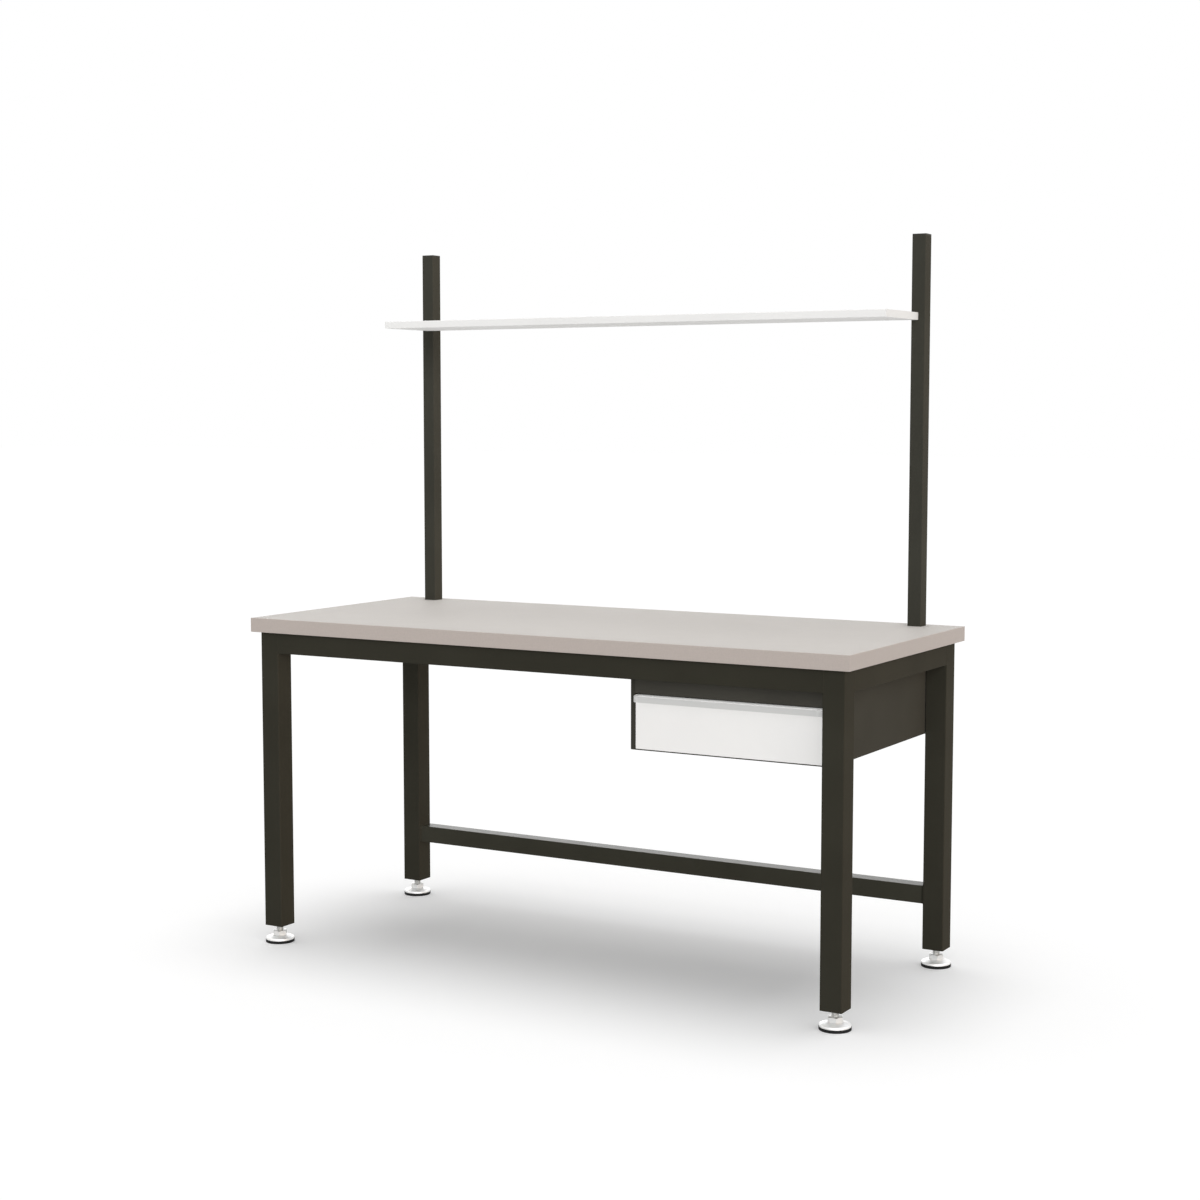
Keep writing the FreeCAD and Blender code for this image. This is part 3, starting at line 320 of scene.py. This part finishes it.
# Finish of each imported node

legs = ["leg_" + corner for corner in corners]
rails = ["rail_front", "rail_rear", "rail_left", "rail_right"]
nodeFinishes = {
    framePaint: legs + rails + ["leg_inserts"],
    stretcherPaintWithPaintedLight: ["stretcher_rear"],
    uprightPaint: ["upright_left", "upright_right", "spigot_left", "spigot_right"],
    cabinetPaint: ["cabinet_shell", "cabinet_back", "slide_support_left", "slide_support_right"],
    fillerPaintWithPaintedLight: ["cabinet_filler"],
    worktopLaminate: ["worktop_laminate", "worktop_backing"],
    bandPlastic: ["worktop_edge_bands"],
    coreBoard: ["worktop_core"],
    shelfPaint: ["shelf_tray", "shelf_bottom", "shelf_stiffener"],
    drawerPaint: ["drawer_front"],
    boxPaint: ["drawer_box"],
    handleFinish: ["drawer_handle"],
    handleCapPlastic: ["handle_end_caps"],
    tubeCapPlastic: ["upright_caps"],
    brightZinc: ["foot_disc_" + corner for corner in corners] + [
        "worktop_screws", "upright_bolts", "shelf_arms", "shelf_nuts", "cabinet_screws", "handle_screws",
        "drawer_front_screws"],
    stemZinc: ["foot_stem_" + corner for corner in corners],
    slideZinc: [
        "slide_%s_%s" % (member, side) for member in ("outer", "middle", "inner") for side in sides],
    cagePlastic: ["cage_%s_%s" % (row, side) for row in ("outer", "inner") for side in sides],
    rubber: ["foot_pad_" + corner for corner in corners],
}
for finish, members in nodeFinishes.items():
    for member in members:
        mesh = nodes[member].data
        mesh.materials.clear()
        mesh.materials.append(finish)
print("nodes finished:", sum(len(members) for members in nodeFinishes.values()))


# Surfaces worked out on grids: an array of rows of closed rings, rows x columns x 3

mergeGap = 0.001 * mm
axes = np.eye(3)
axisTurns = {"up": axes, "rear": np.array([[1, 0, 0], [0, 0, 1], [0, -1, 0]])}
flatTurn = np.pi / 3  # the part of a turn that one flat of a hexagon takes
chamfer = {"angle": math.radians(30), "rows": 6}


def ringQuads(rows, columns):
    # every quad joins two neighbours on one ring to the same two on the next
    row = np.arange(rows - 1)[:, None] * columns
    column = np.arange(columns)[None, :]
    after = (column + 1) % columns
    quads = np.stack([row + column, row + after, row + columns + after, row + columns + column], axis=-1)
    return quads.reshape(-1, 4)


def addPiece(name, grids, spec, body, replaced=()):
    # grids become one mesh; a ring drawn in to a point is merged there, which closes the surface
    points = np.concatenate([grid.reshape(-1, 3) for grid in grids])
    starts = np.cumsum([0] + [grid.shape[0] * grid.shape[1] for grid in grids])
    quads = np.concatenate([ringQuads(*grid.shape[:2]) + start for grid, start in zip(grids, starts)])
    mesh = bpy.data.meshes.new(name)
    mesh.from_pydata(points.tolist(), [], quads.tolist())
    solid = bmesh.new()
    solid.from_mesh(mesh)
    bmesh.ops.remove_doubles(solid, verts=solid.verts, dist=mergeGap)
    bmesh.ops.recalc_face_normals(solid, faces=solid.faces)
    solid.to_mesh(mesh)
    solid.free()
    mesh.shade_smooth()
    mesh.set_sharp_from_angle(angle=math.radians(spec["sharp"]))
    mesh.materials.append(spec["finish"])
    piece = bpy.data.objects.new(name, mesh)
    scene.collection.objects.link(piece)
    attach(piece, body)
    if replaced:
        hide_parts(*replaced)


def ringAngles(turns):
    return np.arange(turns) * 2 * np.pi / turns


def hexagonRadius(turns, across):
    # half the width across flats over the cosine of the angle to the nearest flat's middle, corners on X
    return across / 2 / np.cos(ringAngles(turns) % flatTurn - flatTurn / 2)


def turnedRings(radius, height):
    # x and y are the radius times cosine and sine of the angle, z is the row's height
    angles = ringAngles(radius.shape[1])
    tall = np.broadcast_to(height[:, None], radius.shape)
    return np.stack([radius * np.cos(angles), radius * np.sin(angles), tall], axis=-1)


def lathe(outline, turns):
    # a profile of radius and height carried round the axis
    return turnedRings(np.repeat(outline[:, :1], turns, axis=1), outline[:, 1])


def softOutline(stops, steps=5):
    # straight lines between the stops; a stop with a softening becomes a parabola that starts and ends
    # that far along its two sides
    points = np.array([stop[:2] for stop in stops], float)
    share = np.linspace(0, 1, steps)[:, None]
    stretches = []
    for index, stop in enumerate(stops):
        if len(stop) < 3:
            stretches.append(points[index:index + 1])
            continue
        ways = points[[index - 1, index + 1]] - points[index]
        ends = points[index] + stop[2] * ways / np.linalg.norm(ways, axis=1)[:, None]
        curve = (1 - share) ** 2 * ends[0] + 2 * share * (1 - share) * points[index] + share ** 2 * ends[1]
        stretches.append(curve)
    return np.concatenate(stretches)


def laid(grid, centre, facing="up"):
    # the grid's own Z is turned to face up or rear, then its origin goes to the centre
    return grid @ axisTurns[facing].T + np.array(centre)


def chamferedHexagon(turns, across, low, high):
    # the lesser of the hexagon's radius and a cone's that opens from each end face at the chamfer's angle
    flat = across / 2
    corner = flat / math.cos(flatTurn / 2)
    slope = math.tan(chamfer["angle"])
    inward = np.linspace(0, (corner - flat) * slope, chamfer["rows"])
    height = np.concatenate([low + inward, high - inward[::-1]])
    cone = flat + np.minimum(height - low, high - height) / slope
    return np.minimum(hexagonRadius(turns, across), cone[:, None]), height


# Levelling feet: plated disc, threaded stem with its hexagon, rubber pad

foot = {
    "turns": 72, "rimHigh": 8.5 * mm, "hubRadius": 20 * mm, "pinRadius": 7 * mm, "pinGap": 0.05 * mm,
    "boreDeep": 10 * mm, "discSoft": (0.8 * mm, 2.2 * mm, 2.5 * mm),  # bottom edge, rim, hub
    "hexAcross": 36 * mm, "hexHigh": 14 * mm, "seatGap": 0.05 * mm, "threadRadius": 9.95 * mm,
    "threadDeep": 1.5 * mm, "threadPitch": 2.5 * mm, "threadLong": 60 * mm, "threadFlat": 0.15,
    "rowsPerPitch": 8, "stemRadius": 10 * mm, "stemTaper": 2 * mm, "padLip": 1 * mm, "padFloor": 5 * mm,
    "padSoft": 1.2 * mm, "lipSoft": 0.35 * mm,
    "padGroove": (3.2 * mm, 0.7 * mm, 0.45 * mm)}  # height of its middle, half its width, depth
plated = {"finish": brightZinc, "slot": "bright_zinc", "sharp": 34}
threaded = {"finish": stemZinc, "slot": "bright_zinc", "sharp": 34}
padded = {"finish": rubber, "slot": "foot_rubber", "sharp": 50}


def discOutline(spec, low, high, rim):
    # from the axis out under the disc, up its rim, over the slope to the hub and down the pin's bore
    bore = spec["pinRadius"] + spec["pinGap"]
    bottomSoft, rimSoft, hubSoft = spec["discSoft"]
    return softOutline([
        (0, low), (rim, low, bottomSoft), (rim, low + spec["rimHigh"], rimSoft),
        (spec["hubRadius"], high, hubSoft), (bore, high), (bore, high - spec["boreDeep"]),
        (0, high - spec["boreDeep"])])


def padOutline(spec, high, rim):
    # from the axis out along the floor, up the grooved rim, over the lip and down to the disc's recess
    recess = rim - spec["padLip"]
    middle, halfWide, deep = spec["padGroove"]
    return softOutline([
        (0, 0), (rim, 0, spec["padSoft"]), (rim, middle - halfWide), (rim - deep, middle - halfWide / 2),
        (rim - deep, middle + halfWide / 2), (rim, middle + halfWide), (rim, high, spec["lipSoft"]),
        (recess, high, spec["lipSoft"]), (recess, spec["padFloor"]), (0, spec["padFloor"])])


def stemRings(spec, low, hub, high):
    # pin, hexagon, thread and plain tip, one above the other
    turns = spec["turns"]
    around = np.ones(turns)
    seat = hub + spec["seatGap"]
    hexTop = hub + spec["hexHigh"]
    pin = np.array([(0, low), (spec["pinRadius"], low), (spec["pinRadius"], seat)])
    hexRadius, hexHeight = chamferedHexagon(turns, spec["hexAcross"], seat, hexTop)
    # thread: the crest less the depth times a triangle wave of height over pitch minus angle over a turn,
    # with its crests and roots cut flat
    rows = int(spec["threadLong"] / spec["threadPitch"] * spec["rowsPerPitch"])
    threadHeight = np.linspace(hexTop, hexTop + spec["threadLong"], rows)
    phase = threadHeight[:, None] / spec["threadPitch"] - ringAngles(turns) / (2 * np.pi)
    flat = spec["threadFlat"]
    wave = np.clip(np.abs(2 * (phase % 1) - 1) * (1 + 2 * flat) - flat, 0, 1)
    thread = spec["threadRadius"] - spec["threadDeep"] * wave
    tip = spec["stemTaper"]
    plain = np.array([
        (spec["stemRadius"], threadHeight[-1]), (spec["stemRadius"], high - tip),
        (spec["stemRadius"] - tip, high), (0, high)])
    radius = np.concatenate([pin[:, :1] * around, hexRadius, thread, plain[:, :1] * around])
    return turnedRings(radius, np.concatenate([pin[:, 1], hexHeight, threadHeight, plain[:, 1]]))


def addFoot(corner, spec):
    discLow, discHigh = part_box("foot_disc_" + corner)
    padLow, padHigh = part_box("foot_pad_" + corner)
    stemLow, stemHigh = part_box("foot_stem_" + corner)
    centre = ((discLow[0] + discHigh[0]) / 2, (discLow[1] + discHigh[1]) / 2, 0)
    discRim = (discHigh[0] - discLow[0]) / 2
    padRim = (padHigh[0] - padLow[0]) / 2
    disc = lathe(discOutline(spec, discLow[2], discHigh[2], discRim), spec["turns"])
    pad = lathe(padOutline(spec, padHigh[2], padRim), spec["turns"])
    stem = stemRings(spec, stemLow[2], discHigh[2], stemHigh[2])
    base = "base_" + corner
    addPiece("footDisc_" + corner, [laid(disc, centre)], plated, base, ["foot_disc_" + corner])
    addPiece("footPad_" + corner, [laid(pad, centre)], padded, base, ["foot_pad_" + corner])
    addPiece("footStem_" + corner, [laid(stem, centre)], threaded, "stem_" + corner, ["foot_stem_" + corner])


for corner in corners:
    addFoot(corner, foot)
print("feet turned:", len(corners))


# Weld beads where the tubes meet

weld = {
    "leg": 4.5 * mm, "crown": 0.9 * mm, "ripple": 0.25, "rippleLong": 2.4 * mm, "rowsPerRipple": 6,
    "across": 8, "tubeRound": 2.5 * mm, "seamOver": 1 * mm, "seamCrown": 0.45 * mm, "seamRoot": 1.5 * mm,
    "finish": framePaint, "slot": "frame_paint", "sharp": 60}


def beadRows(spec, start, end, endRound):
    # places along the bead, its swell (one plus a sine once per ripple) and its quarter-round end taper
    long = np.linalg.norm(end - start)
    rows = int(long / spec["rippleLong"] * spec["rowsPerRipple"])
    share = (1 - np.cos(np.linspace(0, np.pi, rows))) / 2
    fromEnd = np.minimum(share, 1 - share) * long
    taper = np.sqrt(1 - (1 - np.minimum(fromEnd / endRound, 1)) ** 2)
    swell = 1 + spec["ripple"] * np.sin(2 * np.pi * share * long / spec["rippleLong"])
    return start + share[:, None] * (end - start), swell, taper


def filletBead(spec, start, end, first, second):
    # across, from one face to the other, plus a crown of half a sine along the middle of the corner
    places, swell, taper = beadRows(spec, start, end, spec["leg"])
    share = np.linspace(0, 1, spec["across"])[:, None]
    flat = spec["leg"] * ((1 - share) * first + share * second)
    crown = spec["crown"] * np.sin(np.pi * share) * (first + second) / math.sqrt(2)
    section = flat + swell[:, None, None] * crown
    ring = np.concatenate([section, np.zeros((len(places), 1, 3))], axis=1)
    return places[:, None, :] + taper[:, None, None] * ring


def seamBead(spec, start, end, across, outward):
    # lens over the groove at a tube's rounded corner: half a sine outward, a root into the groove
    places, swell, taper = beadRows(spec, start, end, spec["tubeRound"])
    share = np.linspace(0, 1, spec["across"])[:, None]
    wide = spec["tubeRound"] + 2 * spec["seamOver"]
    flat = wide * (share - 0.5) * across
    crown = spec["seamCrown"] * np.sin(np.pi * share) * outward
    root = np.broadcast_to(-spec["seamRoot"] * outward, (len(places), 1, 3))
    ring = np.concatenate([flat + swell[:, None, None] * crown, root], axis=1)
    return places[:, None, :] + taper[:, None, None] * ring


def railBeads(spec, rail, along):
    # at each end a fillet under the rail, and a seam up each side at the leg's rounded corner
    low, high = (np.array(corner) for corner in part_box(rail))
    across = 1 - along
    beads = []
    for end, sign in ((low, -1), (high, 1)):
        outward = sign * axes[along]
        under = low.copy()
        under[along] = end[along]
        start, stop = under.copy(), under.copy()
        start[across] = low[across] + spec["tubeRound"]
        stop[across] = high[across] - spec["tubeRound"]
        beads.append(filletBead(spec, start, stop, -axes[2], -outward))
        for face, side in ((low, -1), (high, 1)):
            bottom = under.copy()
            bottom[across] = face[across]
            bottom[along] += sign * spec["tubeRound"] / 2
            top = bottom.copy()
            top[2] = high[2]
            beads.append(seamBead(spec, bottom, top, axes[along], side * axes[across]))
    return beads


def stretcherBeads(spec, tube):
    # at each end a fillet on each of the tube's four faces
    low, high = (np.array(corner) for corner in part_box(tube))
    beads = []
    for end, sign in ((low, -1), (high, 1)):
        for across, run in ((1, 2), (2, 1)):
            for face, side in ((low, -1), (high, 1)):
                start = np.array([end[0], 0, 0])
                start[across] = face[across]
                stop = start.copy()
                start[run] = low[run] + spec["tubeRound"] / 2
                stop[run] = high[run] - spec["tubeRound"] / 2
                beads.append(filletBead(spec, start, stop, side * axes[across], -sign * axes[0]))
    return beads


beads = stretcherBeads(weld, "stretcher_rear")
for rail, along in zip(rails, (0, 0, 1, 1)):
    beads += railBeads(weld, rail, along)
addPiece("weldBeads", beads, weld, "root")
print("weld beads laid:", len(beads))


# Dark strip behind the cabinet that closes its joint with the rear right leg

jointStrip = {
    "wide": 3 * mm, "deep": 5 * mm, "soft": 0.8 * mm, "legGap": 0.1 * mm, "railGap": 0.5 * mm,
    "finish": rubber, "slot": "foot_rubber", "sharp": 50}


def addJointStrip(spec):
    # a rectangle with parabola corners carried straight up, drawn in to its middle at both ends
    shellLow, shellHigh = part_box("cabinet_shell")
    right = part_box("leg_rear_right")[0][0] - spec["legGap"]
    left = right - spec["wide"]
    front = shellHigh[1]
    rear = front + spec["deep"]
    middle = (left + right) / 2
    soft = spec["soft"]
    outline = softOutline([
        (middle, front), (right, front, soft), (right, rear, soft), (left, rear, soft), (left, front, soft),
        (middle, front)])
    centre = np.broadcast_to([middle, (front + rear) / 2], outline.shape)
    low = shellLow[2]
    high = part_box("rail_rear")[0][2] - spec["railGap"]
    plan = np.stack([centre, outline, outline, centre])
    height = np.broadcast_to(np.array([low, low, high, high])[:, None, None], (*plan.shape[:2], 1))
    addPiece("cabinetJointStrip", [np.concatenate([plan, height], axis=2)], spec, "root")


addJointStrip(jointStrip)
print("joint strip set")


# Bolts and screws with socket heads, nuts and washers

uprightBolt = {
    "turns": 48, "head": 7 * mm, "high": 4.4 * mm, "edge": 0.9 * mm, "crown": 3.9 * mm, "socket": 5 * mm,
    "socketDeep": 2.6 * mm, "drillShare": 1 / 6, "shank": 4 * mm, "domeRows": 9}
frontScrew = {
    "turns": 36, "head": 3.5 * mm, "high": 2.5 * mm, "edge": 0.5 * mm, "crown": 2.0 * mm,
    "socket": 2.5 * mm, "socketDeep": 1.4 * mm, "drillShare": 1 / 6, "shank": 1.75 * mm, "domeRows": 9}
shelfNut = {
    "turns": 48, "across": 13 * mm, "high": 6.5 * mm, "bore": 4.02 * mm, "washer": 8 * mm,
    "washerThick": 1.6 * mm, "washerBore": 4.2 * mm, "washerSoft": 0.35 * mm}


def socketScrew(spec, shankLong):
    # shank, then a head whose edge rises straight and rounds over as a quarter ellipse, then a hexagon
    # socket with a drill point at its floor
    turns = spec["turns"]
    bend = np.linspace(0, np.pi / 2, spec["domeRows"])
    dome = np.stack([
        spec["crown"] + (spec["head"] - spec["crown"]) * np.cos(bend),
        spec["edge"] + (spec["high"] - spec["edge"]) * np.sin(bend)], axis=1)
    shank = np.array([(0, -shankLong), (spec["shank"], -shankLong), (spec["shank"], 0), (spec["head"], 0)])
    outside = np.concatenate([shank, dome])
    socket = hexagonRadius(turns, spec["socket"])
    floor = spec["high"] - spec["socketDeep"]
    drillEnd = floor - spec["socket"] * spec["drillShare"]
    radius = np.concatenate([outside[:, :1] * np.ones(turns), [socket, socket, 0 * socket]])
    return turnedRings(radius, np.concatenate([outside[:, 1], [spec["high"], floor, drillEnd]]))


def nutRings(spec):
    # the chamfered hexagon's rings between rings of the bore, which close it inside
    hexRadius, hexHeight = chamferedHexagon(spec["turns"], spec["across"], 0, spec["high"])
    bore = np.full((1, spec["turns"]), spec["bore"])
    radius = np.concatenate([bore, hexRadius, bore, bore])
    return turnedRings(radius, np.concatenate([[0], hexHeight, [spec["high"], 0]]))


def washerRings(spec):
    # a flat ring's section, its outer edges rounded, carried round the bore
    bore = spec["washerBore"]
    rim = spec["washer"]
    thick = spec["washerThick"]
    soft = spec["washerSoft"]
    outline = softOutline([(bore, 0), (rim, 0, soft), (rim, thick, soft), (bore, thick), (bore, 0)])
    return lathe(outline, spec["turns"])


def addScrews(name, node, body, spec):
    # one screw at each corner of the node's box, its head facing the rear
    low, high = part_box(node)
    seat = high[1] - spec["high"]
    screw = socketScrew(spec, seat - low[1])
    places = (low[0] + spec["head"], high[0] - spec["head"])
    levels = (low[2] + spec["head"], high[2] - spec["head"])
    screws = [laid(screw, (place, seat, level), "rear") for place in places for level in levels]
    addPiece(name, screws, plated, body, [node])


def addNuts(spec):
    low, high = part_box("shelf_nuts")
    level = (low[2] + high[2]) / 2
    half = (high[0] - low[0]) / 2 - spec["washer"]
    grids = []
    for place in (-half, half):
        grids.append(laid(washerRings(spec), (place, low[1], level), "rear"))
        grids.append(laid(nutRings(spec), (place, low[1] + spec["washerThick"], level), "rear"))
    addPiece("shelfNuts", grids, plated, "root", ["shelf_nuts"])


addScrews("uprightBolts", "upright_bolts", "root", uprightBolt)
addScrews("drawerFrontScrews", "drawer_front_screws", "drawer", frontScrew)
addNuts(shelfNut)
print("fasteners made")


# Bright balls over the balls of the slides' cages, a hair larger than those

ballRow = {
    "radius": 1.91 * mm, "cageRadius": 1.9 * mm, "tipInset": 2.06 * mm, "firstIn": 20 * mm,
    "step": 50 * mm, "count": 5, "turns": 16, "rows": 9, "finish": ballSteel, "slot": "bright_zinc",
    "sharp": 60}


def addBalls(row, side, spec):
    # a sphere is a half circle carried round: radius times sine and cosine of the polar angle
    polar = np.linspace(np.pi, 0, spec["rows"])
    ball = lathe(spec["radius"] * np.stack([np.sin(polar), np.cos(polar)], axis=1), spec["turns"])
    low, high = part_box("cage_%s_%s" % (row, side))
    # centres are set in from the side of the cage that faces the drawer
    tip = high[0] - spec["tipInset"] if side == "left" else low[0] + spec["tipInset"]
    levels = (low[2] + spec["cageRadius"], high[2] - spec["cageRadius"])
    places = [low[1] + spec["firstIn"] + spec["step"] * index for index in range(spec["count"])]
    balls = [laid(ball, (tip, place, level)) for place in places for level in levels]
    addPiece("balls_%s_%s" % (row, side), balls, spec, "%s_balls_%s" % (row, side))


for row in ("outer", "inner"):
    for side in sides:
        addBalls(row, side, ballRow)
print("balls set")


# Studio: white surroundings, even light from all round, a floor that keeps the shadow

grip = ["drawer_handle", "handle_end_caps"]
thin = ["stretcher_rear", "shelf_tray", "shelf_bottom", "upright_left", "upright_right"]
painted = legs + rails + [
    "stretcher_rear", "upright_left", "upright_right", "upright_caps", "cabinet_shell", "weldBeads"]
white = (1, 1, 1)
studio = {
    "ambient": 0.44, "floorColour": (0.88, 0.88, 0.88), "floorGlow": 0.195, "floorHalf": 60,
    # a group is these objects alone, or every object but these
    "groups": {
        "grip": ("INCLUDE", grip),
        "all but grip": ("EXCLUDE", grip),
        "all but thin": ("EXCLUDE", thin),
        "frame": ("INCLUDE", painted),
        "all but floor": ("EXCLUDE", ["floor"]),
        "all but grip and leg": ("EXCLUDE", grip + ["leg_front_right"])},
    # irradiance, azimuth from the front towards the right, elevation, angular width in degrees, colour,
    # the group that it lights and the group that shades it
    "lamps": {
        "overhead": (0.51, 180, 88, 44, white, "all but grip", "all but thin"),
        "overhead on grip": (0.51, 180, 88, 44, white, "grip", "grip"),
        "front right": (0.445, 36, 16, 34, white, "all but floor", "all but grip and leg"),
        "right": (0.09, 80, 12, 40, (1, 0.62, 0.30), "all but floor", None),
        "right on frame": (0.43, 80, 12, 40, (1, 0.75, 0.61), "frame", "grip"),
        "rear left": (0.22, 215, 10, 34, white, "all but floor", None)}}


def seenWhite(tree):
    # 1 for a camera, mirror or glass ray, 0 for the light that falls on things
    path = tree.nodes.new("ShaderNodeLightPath")
    total = path.outputs["Is Camera Ray"]
    for output in ("Is Glossy Ray", "Is Transmission Ray"):
        step = tree.nodes.new("ShaderNodeMath")
        step.operation = "MAXIMUM"
        tree.links.new(total, step.inputs[0])
        tree.links.new(path.outputs[output], step.inputs[1])
        total = step.outputs[0]
    return total


def lightWorld(spec):
    world = bpy.data.worlds.new("studio")
    scene.world = world
    world.use_nodes = True
    tree = world.node_tree
    strength = tree.nodes.new("ShaderNodeMapRange")
    tree.links.new(seenWhite(tree), strength.inputs["Value"])
    strength.inputs["To Min"].default_value = spec["ambient"]
    strength.inputs["To Max"].default_value = 1
    background = tree.nodes["Background"]
    background.inputs["Color"].default_value = (*white, 1)
    tree.links.new(strength.outputs["Result"], background.inputs["Strength"])


def addFloor(spec):
    half = spec["floorHalf"]
    square = [(-half, -half, 0), (half, -half, 0), (half, half, 0), (-half, half, 0)]
    mesh = bpy.data.meshes.new("floor")
    mesh.from_pydata(square, [], [(0, 1, 2, 3)])
    floor = bpy.data.objects.new("floor", mesh)
    scene.collection.objects.link(floor)
    material = bpy.data.materials.new("floor")
    material.use_nodes = True
    tree = material.node_tree
    shader = tree.nodes["Principled BSDF"]
    shader.inputs["Base Color"].default_value = (*spec["floorColour"], 1)
    shader.inputs["Roughness"].default_value = 1
    shader.inputs["Specular IOR Level"].default_value = 0
    glow = tree.nodes.new("ShaderNodeMapRange")
    tree.links.new(seenWhite(tree), glow.inputs["Value"])
    glow.inputs["To Max"].default_value = spec["floorGlow"]
    shader.inputs["Emission Color"].default_value = (*white, 1)
    tree.links.new(glow.outputs["Result"], shader.inputs["Emission Strength"])
    mesh.materials.append(material)


def lampGroups(spec):
    groups = {None: None}
    for name, (state, members) in spec["groups"].items():
        groups[name] = bpy.data.collections.new(name)
        for member in members:
            groups[name].objects.link(bpy.data.objects[member])
        for entry in groups[name].collection_objects:
            entry.light_linking.link_state = state
    return groups


def addLamps(spec):
    # the floor keeps only the shadow from above, thin pieces streak nothing, the worktop doesn't shade the
    # grip, and a warm lamp lifts the painted frame's right-hand faces alone
    groups = lampGroups(spec)
    for name, (irradiance, azimuth, elevation, width, colour, lit, shading) in spec["lamps"].items():
        lamp = bpy.data.lights.new(name, "SUN")
        lamp.energy = irradiance * math.pi
        lamp.color = colour
        lamp.angle = math.radians(width)
        holder = bpy.data.objects.new(name, lamp)
        scene.collection.objects.link(holder)
        # a sun shines along its own -Z
        holder.rotation_euler = Euler((math.radians(90 - elevation), 0, math.radians(azimuth)))
        holder.light_linking.receiver_collection = groups[lit]
        holder.light_linking.blocker_collection = groups[shading]


lightWorld(studio)
addFloor(studio)
addLamps(studio)
print("studio lit:", len(studio["lamps"]), "lamps")
